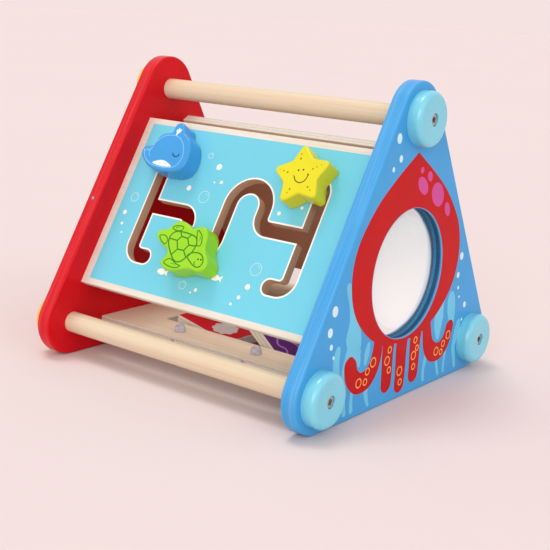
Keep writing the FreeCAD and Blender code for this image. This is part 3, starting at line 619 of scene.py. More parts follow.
def bare_ply(name, settings, out, middle, pale=0.0, inside=0.0):
    """Sanded, lightly lacquered plywood; its face towards the hollow may get painted shade, a browner
    tone, except near the top, where light reaches it."""
    finish = Finish(name)
    # With pale above 0 the faces are a paler, warmer copy of the panels' wood: painted light.
    tone, relief, _ = ply(finish, settings, out, middle, PANEL_HALF,
                          toward(settings.panel_face, (1.0, 0.88, 0.7), pale))
    # Painted shade: the face towards the hollow is tinted brown below 150 to 160 mm up, by the share
    # inside.
    inward = finish.spread(finish.turned(out), -0.9, -0.7, inside, 0.0)
    below_top = finish.spread(finish.along((0.0, 0.0, 1.0)), 150.0, 160.0, 1.0, 0.0)
    tone = finish.blend(finish.times(inward, below_top), tone, paint(190, 118, 76))
    finish.set(Base_Color=tone, Roughness=finish.spread(relief, 0.4, 1.2, 0.45, 0.6),
               Specular_IOR_Level=0.25, Coat_Weight=0.04, Coat_Roughness=0.4)
    finish.bump(relief, 0.00008, 0.5)
    return finish.material


def satin(finish, tone, relief, depth, strength):
    """Material of a satin lacquered print or paint on plywood."""
    finish.set(Base_Color=tone, Roughness=finish.cloud(70.0, 0.34, 0.46), Specular_IOR_Level=0.22,
               Coat_Weight=0.08, Coat_Roughness=0.25)
    finish.bump(relief, depth, strength)
    return finish.material


def corner_line(finish, u, v, centre, radius):
    """Distance from a line that runs straight, round a quarter turn and straight on. With q as the
    place relative to the turn's centre, it is the length of q's positive part, plus the larger part
    of q where both are negative, less the radius."""
    q = [finish.minus(u, centre[0]), finish.minus(v, centre[1])]
    outside = finish.hypot(*(finish.math("MAXIMUM", part, 0.0) for part in q))
    inside = finish.math("MINIMUM", finish.math("MAXIMUM", q[0], q[1]), 0.0)
    return finish.math("ABSOLUTE", finish.minus(finish.plus(outside, inside), radius))


def half_track(finish, u, v):
    """Distance from the left half of the middle track. Below the bend's centre it is the distance
    from the bend's circle; above, the nearer of the branch with its turn and the middle run."""
    to_centre = finish.hypot(finish.plus(u, BEND_RADIUS), finish.plus(v, BEND_DROP))
    bend = finish.math("ABSOLUTE", finish.minus(to_centre, BEND_RADIUS))
    branch = corner_line(finish, u, v, *BRANCH_TURN)
    branch = finish.hypot(branch, finish.math("MAXIMUM", finish.minus(-SIDE_TRACK, u), 0.0))
    run = finish.hypot(u, finish.math("MAXIMUM", finish.minus(v, BEND_DROP), 0.0))
    below = finish.math("LESS_THAN", v, -BEND_DROP)
    return finish.choose(below, bend, finish.math("MINIMUM", branch, run))


def track_distance(finish, u, v):
    """Distance from the centre line of the whole track: the nearest of the side tracks with their
    hooks and the two halves of the middle track, which are each other turned half round."""
    side_u, side_v = finish.math("ABSOLUTE", u), finish.math("ABSOLUTE", v)
    side_line = corner_line(finish, side_u, side_v, *HOOK_TURN)
    hook_end = finish.hypot(finish.minus(side_u, HOOK_END[0]), finish.minus(side_v, HOOK_END[1]))
    side = finish.choose(finish.math("GREATER_THAN", side_u, HOOK_END[0]), side_line, hook_end)
    left = half_track(finish, u, v)
    right = half_track(finish, finish.times(u, -1.0), finish.times(v, -1.0))
    return finish.math("MINIMUM", side, finish.math("MINIMUM", left, right))


def maze_finish(wood, prints):
    """Printed maze face: sea colour inside a bare border, a white line all along the track, and painted
    shade, a brown tint over the layers, in the track's walls."""
    finish = Finish("printed_ply")
    middle = maze_ground(PANEL_GAP + PANEL_HALF)[0]
    tone, relief, on_edge = ply(finish, wood, SLOPE_OUT, middle, PANEL_HALF, wood.ply_face)
    u, v = finish.along((1.0, 0.0, 0.0), middle), finish.along(SLOPE_UP, middle)
    track = track_distance(finish, u, v)
    line = TRACK_HALF + prints.track_line / MM
    inked = finish.spread(track, line - 0.08, line + 0.08)
    for distance, edge in zip((u, v), PRINT_HALF):
        inked = finish.times(inked, finish.band(finish.math("ABSOLUTE", distance), edge))
    outer = finish.spread(finish.along(SLOPE_OUT, middle), PANEL_HALF - 0.25, PANEL_HALF - 0.05)
    top = finish.times(outer, finish.spread(finish.facing(SLOPE_OUT), 0.8, 0.95))
    sea = finish.blend(finish.cloud(9.0, detail=2.0), shade(prints.sea, 0.97), shade(prints.sea, 1.05))
    dots = finish.spread(finish.noise(1400.0, detail=1.0), 0.4, 0.7, 0.0, 0.07)
    sea = finish.blend(dots, sea, toward(prints.sea, WHITE, 0.5))
    # Painted shade: the track's walls are tinted brown.
    wall = finish.times(finish.spread(track, TRACK_HALF + 0.1, TRACK_HALF + 0.4, 1.0, 0.0), on_edge)
    tone = finish.blend(finish.times(wall, 0.68), tone, paint(178, 118, 62))
    tone = finish.blend(finish.times(finish.band(track, line), top), tone, prints.foam)
    tone = finish.blend(finish.times(inked, top), tone, sea)
    return satin(finish, tone, relief, 0.00005, 0.35)


def door_finish(name, colour, wood, door):
    """Door: painted faces with a soft ply grain under them, bare ply layers in its edges."""
    finish = Finish(name)
    middle, _, _, normal = door_ground(door)
    bare, relief, on_edge = ply(finish, wood, normal, middle, DOOR_HALF, wood.ply_face)
    tone = finish.blend(finish.cloud(30.0), shade(colour, 0.93), shade(colour, 1.07))
    tone = finish.specks(tone, colour, 700.0, 0.6, 0.1)
    return satin(finish, finish.blend(on_edge, tone, bare), relief, 0.00006, 0.4)


def ink(name, colour):
    """Printed ink: a solid colour with faint cloudiness and a fine dry texture."""
    finish = Finish(name)
    tone = finish.blend(finish.cloud(45.0), shade(colour, 0.95), shade(colour, 1.04))
    tone = finish.specks(tone, colour, 1100.0, 0.6, 0.12)
    finish.set(Base_Color=tone, Roughness=finish.cloud(90.0, 0.4, 0.51), Specular_IOR_Level=0.12)
    finish.bump(finish.noise(700.0, detail=2.0), 0.00003, 0.4)
    return finish.material


def metal(name, colour, rough):
    """Plated metal with fine turning marks."""
    finish = Finish(name)
    marks = finish.noise(900.0, rough=0.7)
    tone = finish.blend(finish.spread(marks, 0.35, 0.7), shade(colour, 0.8), colour)
    finish.set(Base_Color=tone, Metallic=1.0,
               Roughness=finish.spread(marks, 0.3, 0.75, rough - 0.06, rough + 0.1))
    finish.bump(marks, 0.00004, 0.5)
    return finish.material


def runner_plastic():
    """Moulded off-white plastic."""
    finish = Finish("runner_plastic")
    tone = finish.blend(finish.cloud(200.0), paint(226, 222, 212), paint(238, 235, 227))
    finish.set(Base_Color=tone, Roughness=0.45)
    finish.bump(finish.noise(1500.0), 0.00003, 0.5)
    return finish.material


def clear_plastic():
    """Clear plastic with a cloudy, uneven surface."""
    finish = Finish("clear_plastic")
    haze = finish.noise(420.0, detail=4.0, rough=0.7)
    cloud = finish.spread(haze, 0.3, 0.7)
    finish.set(Base_Color=finish.blend(cloud, paint(196, 186, 214), paint(252, 250, 255)),
               Roughness=finish.spread(haze, 0.3, 0.7, 0.1, 0.25), IOR=1.49,
               Transmission_Weight=0.3, Coat_Weight=0.4)
    finish.bump(haze, 0.0006, 0.9)
    return finish.material


def mirror_glass():
    """Mirror: over most of it a painted reflection, pale and darker towards its top, with faint dust; a
    true mirror near its rim.
    """
    finish = Finish("mirror")
    low, high = (corner[2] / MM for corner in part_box("mirror_disc"))
    # Painted reflection: near white at the mirror's foot, greyer towards its top.
    rise = finish.spread(finish.along((0.0, 0.0, 1.0)), low, high, smooth=True)
    tone = finish.blend(rise, (0.99, 1.0, 1.0), (0.72, 0.785, 0.8))
    dust = finish.spread(finish.noise(140.0, detail=4.0), 0.45, 0.8, 0.0, 0.2)
    tone = finish.blend(dust, tone, (0.9, 0.95, 0.95))
    true_mirror = finish.spread(from_mirror_axis(finish), 38.6, 42.0, 0.2, 0.95, smooth=True)
    finish.set(Base_Color=tone, Metallic=true_mirror,
               Roughness=finish.spread(finish.noise(90.0, detail=4.0), 0.4, 0.8, 0.03, 0.07))
    return finish.material


def coat(material, *names):
    """Give CAD parts a finish."""
    for name in names:
        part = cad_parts[name]
        if not part.material_slots:
            part.data.materials.append(material)
        for holder in part.material_slots:
            holder.material = material


def on_board(name, pieces, ink_name, colour):
    """Print on the outer face of the mirror's end board."""
    printed(name, pieces, end_ground(), "box", ink(ink_name, colour))


def on_block(name, pieces, animal, ink_name, colour):
    """Print on the top of an animal's block."""
    printed(name, pieces, maze_ground(BLOCK_TOP), animal, ink(ink_name, colour))


def animal_block(context, name):
    """Paint an animal's block in its own colour. Gives the animals' colours and the height of the
    ink in millimetres."""
    animals, high = context.scene.activity_animals, context.scene.activity_print.line_height / MM
    colour = getattr(animals, name)
    coat(painted_wood(name + "_paint", colour, 0.3, (120.0, 120.0, 120.0)), name + "_block")
    return animals, high


# ---------------------------------------------------------------- operators


class ACTIVITYBOX_OT_boards(bpy.types.Operator):
    """Paint the end boards and the round caps"""

    bl_idname = "activitybox.boards"
    bl_label = "End Boards and Caps"

    def execute(self, context):
        paints = context.scene.activity_paint
        grain = (300.0, 300.0, 16.0)
        # The blue board gets painted shade on the wall of its mirror's recess.
        blue = painted_wood("blue_paint", paints.blue_board, 0.34, grain, 0.3, 0.16, recess=True)
        coat(blue, "blue_end_board")
        coat(painted_wood("red_paint", paints.red_board, 0.3, grain, 0.2, 0.1), "red_end_board")
        for colour, side in ((paints.pale_blue, "blue"), (paints.amber, "red")):
            caps = ["%s_side_%s_cap" % (side, corner) for corner in ("top", "front", "rear")]
            coat(painted_wood(side + "_cap_paint", colour, 0.22, (60.0, 60.0, 60.0), sheen=0.65), *caps)
        return {"FINISHED"}


class ACTIVITYBOX_OT_wood(bpy.types.Operator):
    """Give the rails and the plain panels their bare wood"""

    bl_idname = "activitybox.wood"
    bl_label = "Rails and Plain Panels"

    def execute(self, context):
        wood = context.scene.activity_wood
        coat(rail_wood(wood), "carry_rail", "front_rail", "rear_rail")
        front_middle = maze_ground(PANEL_GAP + PANEL_HALF)[0]
        rear_out, rear_middle = np.array(SLOPE_OUT) * (1, -1, 1), front_middle * (1, -1, 1)
        # The rear panel's face towards the hollow gets painted shade.
        coat(bare_ply("rear_ply", wood, rear_out, rear_middle, inside=0.55), "rear_panel")
        # The base panel is a paler copy of the plain panels' wood: painted light on a face that lies in
        # the hollow's shade.
        base = bare_ply("base_ply", wood, (0.0, 0.0, 1.0), (0.0, 0.0, BASE_MIDDLE), pale=0.75)
        coat(base, "base_panel")
        return {"FINISHED"}


class ACTIVITYBOX_OT_fittings(bpy.types.Operator):
    """Finish the screws, inserts, pins, runners, mirror and domes"""

    bl_idname = "activitybox.fittings"
    bl_label = "Fittings and Mirror"

    def execute(self, context):
        steel = metal("steel", (0.56, 0.55, 0.54), 0.32)
        coat(steel, "blue_side_cap_screws", "red_side_cap_screws", "board_edge_pin", "red_door_pins",
             "purple_door_pins", "whale_screw", "star_screw", "turtle_screw")
        coat(metal("brass", (0.72, 0.56, 0.28), 0.35), "blue_side_inserts", "red_side_inserts")
        coat(runner_plastic(), "whale_runner", "star_runner", "turtle_runner")
        coat(clear_plastic(), "clear_domes")
        coat(mirror_glass(), "mirror_disc")
        return {"FINISHED"}


class ACTIVITYBOX_OT_maze(bpy.types.Operator):
    """Print the sea, its bubbles and its fish on the maze"""

    bl_idname = "activitybox.maze"
    bl_label = "Maze Print"

    def execute(self, context):
        prints = context.scene.activity_print
        coat(maze_finish(context.scene.activity_wood, prints), "maze_panel")
        high = prints.line_height / MM
        dots = [(-23, 39, 2.9), (-43, 19, 2.5), (-15.5, 27.7, 1.6), (-21.7, 26.7, 0.9),
                (-94.6, -9.3, 2.1), (-93, -18.3, 1.4), (-89.8, -25.2, 0.9), (43.9, 13, 1.7),
                (60.7, 20, 1.4), (41.7, -42.7, 2.5), (37.7, -51.3, 1.7), (33.3, -57.1, 1.2),
                (-0.5, -53.9, 1.6), (-4.3, -56.6, 0.9)]
        rings = [(-34.7, 46.5, 2.6), (-25.9, 14.4, 5.0), (-90.9, 3.9, 4.0), (43, -29.4, 5.0),
                 (-13.4, -52.8, 3.4)]
        ground = maze_ground(MAZE_FACE)
        pieces = [patch(circle(u, v, r * 0.84), high) for u, v, r in dots]
        outlines = [loop_line(circle(u, v, r - 0.4), 0.5, high) for u, v, r in rings]
        outlines += [stroke(circle(u, v, r * 0.55)[3:11], 0.4, high) for u, v, r in rings]
        printed("maze_bubble_rings", outlines, ground, "box",
                ink("ring_ink", toward(prints.sea, prints.foam, 0.5)))
        for u, v in ((-36.3, -47.2), (12.6, -41.9)):
            body = [(u - 4.6, v), (u - 2.6, v + 2.1), (u + 0.6, v + 2.3), (u + 3.4, v + 0.5),
                    (u + 3.4, v - 0.5), (u + 0.6, v - 2.1), (u - 2.6, v - 1.9)]
            tail = [(u + 2.6, v), (u + 5.6, v + 2.4), (u + 5.0, v), (u + 5.4, v - 2.2)]
            pieces += [blob(body, high), blob(tail, high - 0.01, steps=5)]
        printed("maze_bubbles_and_fish", pieces, ground, "box",
                ink("foam_ink", prints.foam))
        return {"FINISHED"}


class ACTIVITYBOX_OT_octopus(bpy.types.Operator):
    """Print the octopus round the mirror"""

    bl_idname = "activitybox.octopus"
    bl_label = "Octopus Print"

    def execute(self, context):
        prints = context.scene.activity_print
        high = prints.line_height / MM
        middle, ring = 91.0, 46.4
        side = [(0, 42.5), (14, 42.8), (28, 45), (42.5, 52), (55.5, 62), (65, 74), (70, 88), (70.6, 104),
                (66, 119), (57, 132), (43, 146.5), (23, 161), (0, 175.5)]
        half = smooth_path(side, steps=8)
        outer = np.concatenate([half, (half * (-1, 1))[-2:0:-1]])
        turn = np.arctan2(outer[:, 1] - middle, outer[:, 0])
        inner = np.stack([ring * np.cos(turn), middle + ring * np.sin(turn)], axis=1)
        arms = [washer(inner, outer, high)]
        curls = (([(-32.6, 50), (-33.4, 41), (-37, 31), (-44.5, 24.6), (-54.6, 23.9), (-62.4, 29.8),
                   (-65.8, 39), (-66.2, 45)], [11.0, 12.8, 15.0, 15.0, 14.4, 12.8]),
                 ([(31.6, 51), (33.4, 41), (37, 31), (44.5, 24.6), (55, 24), (63, 30),
                   (67, 40), (68, 45)], [10.5, 12.8, 15.0, 14.0, 11.5, 10.0]))
        arms += [tapered(points, widths, high + 0.01, round_start=False) for points, widths in curls]
        for u, top, low in ((-19, 44.5, 8.5), (-1, 43.6, 4.2), (17.5, 44.5, 7.6)):
            points = [(u, top), (u - 0.3, 36), (u + 0.3, 20), (u, low)]
            arms.append(tapered(points, [15.2, 12.6], high + 0.005, round_start=False))
        on_board("octopus_picture", arms, "octopus_ink", prints.octopus)
        suckers = [(-54, 24, 3.5), (-46, 23, 2.6), (-44, 30, 2.8), (-37.5, 35, 3.6), (-17, 39.5, 2.6),
                   (-19.5, 32, 3.4), (-16, 24.6, 2.6), (-1.5, 20.5, 3.6), (0.2, 12, 2.6),
                   (17.5, 39.5, 2.6), (20.6, 33, 2.4), (16.5, 28, 3.4), (17.5, 19.5, 2.6),
                   (66, 33.5, 3.4), (59.4, 28, 2.7), (49.6, 24, 3.4), (57, 22, 2.5)]
        rings = [loop_line(circle(u, v, r - 0.4), 0.9, high + 0.03) for u, v, r in suckers]
        on_board("octopus_suckers", rings, "sucker_ink", prints.sucker)
        spots = [(6.6, 162.8, 2.3, 1.0, 0), (18, 157.6, 3.0, 1.3, 36), (9.4, 151.8, 4.9, 1.7, 50),
                 (31, 143.6, 7.4, 1.35, 44), (46.8, 131.4, 3.4, 1.7, 30)]
        ovals = [patch(circle(u, v, r, tall, lean), high + 0.02) for u, v, r, tall, lean in spots]
        on_board("octopus_spots", ovals, "spot_ink", prints.octopus_spot)
        return {"FINISHED"}


class ACTIVITYBOX_OT_seaweed(bpy.types.Operator):
    """Print seaweed and bubbles on the mirror end"""

    bl_idname = "activitybox.seaweed"
    bl_label = "Seaweed and Bubbles"

    def execute(self, context):
        prints = context.scene.activity_print
        high = prints.line_height / MM
        leaves = [
            ([(-68.5, 4), (-70.5, 11), (-71.8, 20), (-73.6, 31), (-73.4, 38), (-71.2, 44.3),
              (-67.5, 51)], [3.6, 4.8, 4.8, 3.6, 3.2, 3.8, 7.0]),
            ([(-60.5, 44), (-62.3, 52), (-64.4, 60), (-66.3, 70), (-69, 80), (-73, 91), (-73.8, 96.5)],
             [13.0, 16.5, 17.5, 7.5, 4.8, 5.0, 4.4]),
            ([(-58.8, 50), (-58.2, 44.2), (-55.8, 40), (-55.4, 35.5)], [12.0, 9.0, 4.6, 2.6]),
            ([(-44.4, 51), (-45.4, 46.5), (-46.4, 42), (-47.8, 35)], [3.0, 5.2, 6.3, 2.4]),
            ([(-44.6, 21), (-44, 14), (-42, 8), (-40, 4)], [5.0, 4.8, 3.4, 2.6]),
            ([(-61.3, 24), (-61.8, 14), (-60.9, 4)], [3.2, 3.4, 4.8]),
            ([(-80.4, 55.5), (-82, 49), (-82.4, 42.7), (-80.6, 34), (-79, 27)],
             [4.0, 7.2, 7.4, 7.0, 6.0]),
            ([(34.8, 31), (34.2, 22.5), (32.4, 13.5), (33.4, 4.4)], [1.6, 4.2, 3.7, 3.4]),
            ([(56, 69), (51.6, 60), (49.4, 50), (49.2, 42), (50.4, 33)], [3.0, 7.5, 13.2, 10.0, 4.0]),
            ([(50, 20), (52.2, 12.5), (55.5, 4)], [3.2, 3.4, 2.7]),
            ([(66, 67.5), (66.2, 61), (67.4, 53.5), (69, 46), (70, 39)], [6.0, 11.0, 12.0, 8.8, 6.0]),
            ([(63.8, 22), (62.7, 12), (63.2, 4)], [3.2, 3.2, 2.8]),
            ([(81.4, 43), (79.6, 35), (77.4, 27.6), (76, 22), (77.8, 15), (80.8, 4.4)],
             [5.0, 8.2, 6.6, 5.2, 4.6, 3.2]),
        ]
        shapes = [tapered(points, widths, high - 0.03 + 0.0015 * level)
                  for level, (points, widths) in enumerate(leaves)]
        on_board("seaweed_picture", shapes, "seaweed_ink", prints.seaweed)
        bubbles = [(-26.5, 186.2, 2.9), (-22.6, 172.6, 2.1), (-31, 166, 1.5), (-87.6, 80, 3.1),
                   (-91.6, 66.6, 2.7), (-89.4, 56.6, 1.7), (-86, 48.8, 1.1), (75.9, 92.8, 2.5),
                   (73, 78.6, 2.0), (75, 68.5, 1.2), (77.7, 61, 0.9), (87.9, 53.2, 2.0),
                   (85.4, 41.8, 1.1)]
        dots = [patch(circle(u, v, r, tall=1.2, lean=10), high + 0.01) for u, v, r in bubbles]
        on_board("board_bubbles", dots, "bubble_ink", toward(prints.seaweed, WHITE, 0.6))
        return {"FINISHED"}


class ACTIVITYBOX_OT_whale(bpy.types.Operator):
    """Paint the whale and its lines"""

    bl_idname = "activitybox.whale"
    bl_label = "Whale"

    def execute(self, context):
        animals, high = animal_block(context, "whale")
        rim = [(-78.8, 40.6), (-77.6, 45), (-72.4, 50.2), (-66.5, 52.1), (-60.3, 52.2), (-54.8, 50),
               (-50.6, 46), (-47.8, 41), (-47, 36), (-48.2, 31), (-52, 27.6), (-58.5, 26.4), (-66, 26.4),
               (-74, 27.3), (-80, 30), (-84.2, 34.2), (-86.2, 38.2), (-84.6, 37), (-83, 38.8),
               (-81.4, 37), (-80.2, 39.4)]
        lines = [contour(rim, 0.6, high),
                 brush([(-79.2, 40.4), (-80.2, 36.4), (-78.2, 33)], 0.5, high - 0.01)]
        on_block("whale_lines", lines, "whale", "whale_line_ink", animals.whale_line)
        belly = [(-73, 28.4), (-69.4, 30.6), (-65.3, 31.6), (-61, 31.3), (-57, 29.8), (-54, 28),
                 (-58, 27.2), (-65, 27)]
        spout = [(-60.9, 52.2), (-61.6, 54.6), (-62.3, 57.2), (-61.2, 57), (-60.2, 59), (-59.2, 57.4),
                 (-57.7, 58), (-58.2, 55.6), (-60.1, 53.6)]
        white = [blob(outline, high + 0.01) for outline in (belly, spout)]
        on_block("whale_belly_and_spout", white, "whale", "whale_white_ink", animals.whale_white)
        dark = [brush([(-57.3, 38.6), (-55.6, 36.6), (-53.4, 36), (-51.5, 37), (-50.8, 38.8)],
                      0.85, high + 0.01),
                brush([(-56.5, 37.3), (-57.6, 36.3)], 0.4, high),
                brush([(-51.2, 37.4), (-50, 36.8)], 0.4, high)]
        on_block("whale_eye", dark, "whale", "whale_eye_ink", animals.whale_eye)
        return {"FINISHED"}


class ACTIVITYBOX_OT_star(bpy.types.Operator):
    """Paint the star, its smile and its dots"""

    bl_idname = "activitybox.star"
    bl_label = "Star"

    def execute(self, context):
        animals, high = animal_block(context, "star")
        smile = [(56, 36), (58.3, 33.4), (61.8, 32.4), (65, 33.9), (66.4, 36.8), (66.4, 39.2)]
        face = [brush(smile, 0.72, high), patch(circle(57.7, 41.1, 0.7), high),
                patch(circle(61.4, 42, 0.7), high),
                brush([(54.9, 36.6), (56.1, 36.3), (56.8, 35.4)], 0.5, high + 0.01),
                brush([(65.4, 39.6), (66.5, 39.4), (67.4, 38.7)], 0.5, high + 0.01)]
        on_block("star_face", face, "star", "star_face_ink", animals.dark_line)
        spots = [(55.1, 52.9, 0.7), (56.1, 49.6, 1.0), (68.5, 43.7, 0.9), (71, 45.6, 0.7),
                 (73.9, 47.6, 0.5), (42.5, 39.5, 0.5), (46, 39.1, 0.8), (49.5, 38.4, 1.0),
                 (56.3, 26.8, 1.0), (55.3, 23.9, 0.7), (69.9, 30.4, 1.0), (72.6, 28.5, 0.7)]
        dots = [patch(circle(u, v, r * 0.75), high) for u, v, r in spots]
        on_block("star_dots", dots, "star", "star_dot_ink", animals.star_dot)
        return {"FINISHED"}


class ACTIVITYBOX_OT_turtle(bpy.types.Operator):
    """Paint the turtle and its shell lines"""

    bl_idname = "activitybox.turtle"
    bl_label = "Turtle"

    def execute(self, context):
        animals, high = animal_block(context, "turtle")
        hexagon = [(-20.5, -25.6), (-17.8, -22), (-12, -22.4), (-8.7, -27), (-11.4, -31.6),
                   (-17.2, -31.6)]
        shell_rim = [(-25, -32), (-27.9, -27), (-27.8, -22.6), (-24.6, -19.4), (-18.4, -18.6),
                     (-11.4, -19), (-5.4, -20.4), (-2.6, -24.2), (-3.2, -30.4), (-6.9, -36.2),
                     (-11.4, -40.2), (-17, -39.8)]
        head = [(-6.4, -34.8), (-3, -31.8), (2.4, -30.9), (7, -32.8), (9, -36.8), (7.6, -40.3),
                (3.6, -41), (-2, -38.4)]
        flippers = (
            [(-37.6, -24.8), (-32.8, -23.9), (-29.2, -26.6), (-30.2, -30), (-34.6, -28.2)],
            [(-29, -17), (-25.4, -14.9), (-19.6, -14.9), (-20.2, -17.6), (-24.6, -18.6)],
            [(-5.8, -15), (-0.4, -18.6), (1.4, -24.6), (-1.4, -26), (-4.2, -20.6)],
            [(-24.8, -43), (-20.4, -39.6), (-13.4, -42.2), (-9.4, -43), (-13, -45), (-19.4, -45)],
        )
        shell_edge = [(-27.9, -25.2), (-20.4, -18.7), (-9.8, -19.3), (-2.8, -26.6), (-6.9, -36.2),
                      (-20.8, -36.6)]
        folds = ([(-26, -17), (-25, -16), (-23.4, -16.2)], [(-2.2, -18.8), (-1, -20.4), (-1.2, -22.2)],
                 [(-18, -43), (-15.8, -42.6), (-13.8, -43.4)])
        lines = [loop_line(broken_path(hexagon + hexagon[:1])[:-1], 1.0, high + 0.01),
                 contour(shell_rim, 1.0, high), contour(head, 0.9, high + 0.005)]
        lines += [contour(edge, 0.8, high + 0.003) for edge in flippers]
        lines += [stroke(broken_path(spoke), 0.95, high + 0.007) for spoke in zip(hexagon, shell_edge)]
        lines += [brush(fold, 0.4, high) for fold in folds]
        on_block("turtle_lines", lines, "turtle", "turtle_line_ink", animals.turtle_line)
        face = [patch(circle(4.1, -35.4, 0.7), high), patch(circle(6.7, -35.2, 0.7), high),
                brush([(1.8, -37.2), (2, -38.8), (3.2, -40)], 0.5, high)]
        on_block("turtle_face", face, "turtle", "turtle_face_ink", animals.turtle_face)
        return {"FINISHED"}


class ACTIVITYBOX_OT_doors(bpy.types.Operator):
    """Paint the flip doors and print both their faces"""

    bl_idname = "activitybox.doors"
    bl_label = "Flip Doors"

    def execute(self, context):
        paints, wood = context.scene.activity_paint, context.scene.activity_wood
        prints = context.scene.activity_print
        high = prints.line_height / MM
        coat(door_finish("first_door_paint", paints.dark_red, wood, "red_door"), "red_flip_door")
        coat(door_finish("second_door_paint", paints.purple, wood, "purple_door"), "purple_flip_door")
        turn, across = full_turn(96), np.linspace(-19, 19, 60)
        shells = []
        for u, v, size in ((9, -21, 11), (-10, -2, 10), (10, 20, 10.5)):
            reach = size * (0.86 + 0.14 * np.abs(np.sin(turn * 4.5)))
            edge = np.stack([u + reach * np.cos(turn) * 0.85, v + reach * np.sin(turn) * 1.1], axis=1)
            shells.append(patch(edge, high, centre=(u, v)))
        waves = []
        for row in np.linspace(-28, 28, 5):
            wave = row + 2.2 * np.sin(across / 19 * 3 * math.pi)
            waves.append(stroke(np.stack([across, wave], axis=1), 1.6, high))
        grey, lilac = ink("shell_ink", prints.door_shell), ink("wave_ink", prints.door_wave)
        for face, out in (("upper", DOOR_HALF), ("lower", -DOOR_HALF)):
            printed("red_door_shells_" + face, shells, door_ground("red_door", out),
                    "red_door", grey)
            printed("purple_door_waves_" + face, waves, door_ground("purple_door", out),
                    "purple_door", lilac)
        return {"FINISHED"}


def studio_world(backdrop):
    """World that lights evenly, and shows the backdrop's colour where it is seen straight, in a
    reflection or through something clear."""
    world = bpy.data.worlds.new("studio")
    world.use_nodes = True
    nodes, links = world.node_tree.nodes, world.node_tree.links
    nodes.clear()
    rays = nodes.new("ShaderNodeLightPath")
    seen = rays.outputs["Is Camera Ray"]
    for kind in ("Is Glossy Ray", "Is Transmission Ray"):
        either = nodes.new("ShaderNodeMath")
        either.operation = "MAXIMUM"
        links.new(seen, either.inputs[0])
        links.new(rays.outputs[kind], either.inputs[1])
        seen = either.outputs[0]
    mix = nodes.new("ShaderNodeMixShader")
    links.new(seen, mix.inputs[0])
    for colour, strength, socket in (((1.0, 0.985, 0.975), 0.75, mix.inputs[1]),
                                     (backdrop, 1.0, mix.inputs[2])):
        background = nodes.new("ShaderNodeBackground")
        background.inputs["Color"].default_value = (*colour, 1.0)
        background.inputs["Strength"].default_value = strength
        links.new(background.outputs[0], socket)
    links.new(mix.outputs[0], nodes.new("ShaderNodeOutputWorld").inputs["Surface"])
    return world


def floor_disc(colour):
    """Round floor of 30 m radius, a tenth of a millimetre below the feet."""
    turn = full_turn(64)
    rim = np.stack([30 * np.cos(turn), 30 * np.sin(turn), np.full(64, -0.0001)], axis=1)
    mesh = bpy.data.meshes.new("floor")
    mesh.from_pydata(rim.tolist(), [], [tuple(range(64))])
    finish = Finish("floor")
    tone = finish.blend(finish.cloud(1.6, detail=2.0), shade(colour, 0.84), shade(colour, 0.85))
    finish.set(Base_Color=tone, Roughness=0.9, Specular_IOR_Level=0.0)
    mesh.materials.append(finish.material)
    return bpy.data.objects.new("floor", mesh)


def sun(name, aim, power, width):
    """Distant lamp that shines from the aim's side, its width in degrees."""
    lamp = bpy.data.lights.new(name, "SUN")
    lamp.energy = power
    lamp.angle = math.radians(width)
    holder = bpy.data.objects.new(name, lamp)
    holder.rotation_euler = Vector(aim).to_track_quat("Z", "Y").to_euler()
    return holder


def inside_lamp():
    """Dim lamp in the hollow between the panels, not seen itself."""
    lamp = bpy.data.lights.new("inside", "AREA")
    lamp.shape, lamp.size, lamp.size_y = "RECTANGLE", 0.17, 0.07
    lamp.energy = 0.026
    lamp.color = (1.0, 0.95, 0.9)
    holder = bpy.data.objects.new("inside", lamp)
    holder.location = (0.0, -0.03, 0.058)
    holder.visible_camera = holder.visible_glossy = False
    return holder


def camera_at(place, yaw, pitch, roll, lens):
    """Camera at a place, its angles in degrees."""
    camera = bpy.data.cameras.new("camera")
    camera.lens = lens
    camera.sensor_width = 36.0
    camera.clip_end = 100.0
    holder = bpy.data.objects.new("camera", camera)
    turns = ((yaw, "Z"), (90.0 - pitch, "X"), (roll, "Z"))
    facing = [Matrix.Rotation(math.radians(angle), 4, axis) for angle, axis in turns]
    holder.matrix_world = Matrix.Translation(place) @ facing[0] @ facing[1] @ facing[2]
    return holder


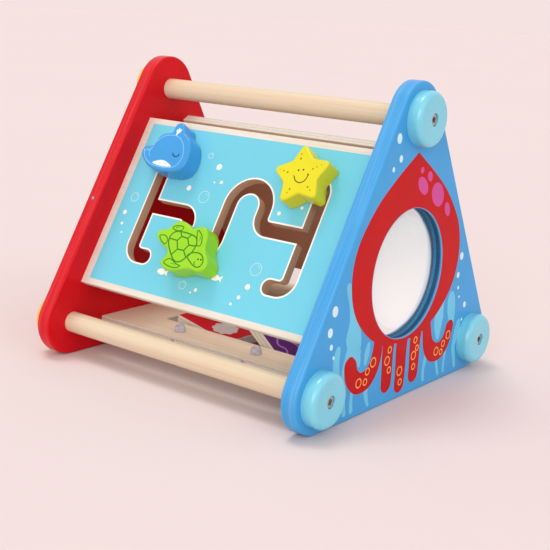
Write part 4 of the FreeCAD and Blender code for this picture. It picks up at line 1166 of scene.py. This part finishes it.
class ACTIVITYBOX_OT_stage(bpy.types.Operator):
    """Lay the floor, hang the light and set the camera"""

    bl_idname = "activitybox.stage"
    bl_label = "Stage"

    def execute(self, context):
        scene, settings = context.scene, context.scene.activity_stage
        scene.view_settings.view_transform = "Standard"
        scene.world = studio_world(settings.backdrop)
        floor = floor_disc(settings.floor)
        camera = camera_at((0.49255, -0.64261, 0.26362), 37.19, 13.65, 3.25, settings.lens)
        for thing in (floor, sun("key", (-0.36, -0.1, 1.3), 0.92, 22.0),
                      sun("side", (1.0, -0.25, 0.45), 0.5, 60.0),
                      sun("front", (0.4, -0.85, 0.35), 0.95, 40.0), inside_lamp(), camera):
            scene.collection.objects.link(thing)
        scene.camera = camera
        return {"FINISHED"}


class ACTIVITYBOX_PT_panel(bpy.types.Panel):
    """Sidebar panel with the box's settings and steps"""

    bl_idname = "ACTIVITYBOX_PT_panel"
    bl_label = "Activity Box"
    bl_space_type = "VIEW_3D"
    bl_region_type = "UI"
    bl_category = "Activity Box"

    def draw(self, context):
        layout = self.layout
        for step in STEPS:
            layout.operator(step.bl_idname)
        for name in SETTINGS:
            settings = getattr(context.scene, name)
            box = layout.box()
            for key in settings.bl_rna.properties.keys():
                if key not in ("rna_type", "name"):
                    box.prop(settings, key)


STEPS = (
    ACTIVITYBOX_OT_stage, ACTIVITYBOX_OT_boards, ACTIVITYBOX_OT_wood, ACTIVITYBOX_OT_fittings,
    ACTIVITYBOX_OT_maze, ACTIVITYBOX_OT_octopus, ACTIVITYBOX_OT_seaweed, ACTIVITYBOX_OT_whale,
    ACTIVITYBOX_OT_star, ACTIVITYBOX_OT_turtle, ACTIVITYBOX_OT_doors,
)
SETTINGS = {
    "activity_paint": PaintSettings, "activity_wood": WoodSettings, "activity_print": PrintSettings,
    "activity_animals": AnimalSettings, "activity_stage": StageSettings,
}
CLASSES = (*SETTINGS.values(), *STEPS, ACTIVITYBOX_PT_panel)


def register():
    """Add the classes and the scene's settings."""
    for item in CLASSES:
        bpy.utils.register_class(item)
    for name, group in SETTINGS.items():
        setattr(bpy.types.Scene, name, PointerProperty(type=group))


def unregister():
    """Take the settings and the classes away again."""
    for name in SETTINGS:
        delattr(bpy.types.Scene, name)
    for item in reversed(CLASSES):
        bpy.utils.unregister_class(item)


def main():
    """Run every step in order."""
    register()
    for step in STEPS:
        area, name = step.bl_idname.split(".")
        getattr(getattr(bpy.ops, area), name)()


if __name__ == "__main__":
    main()
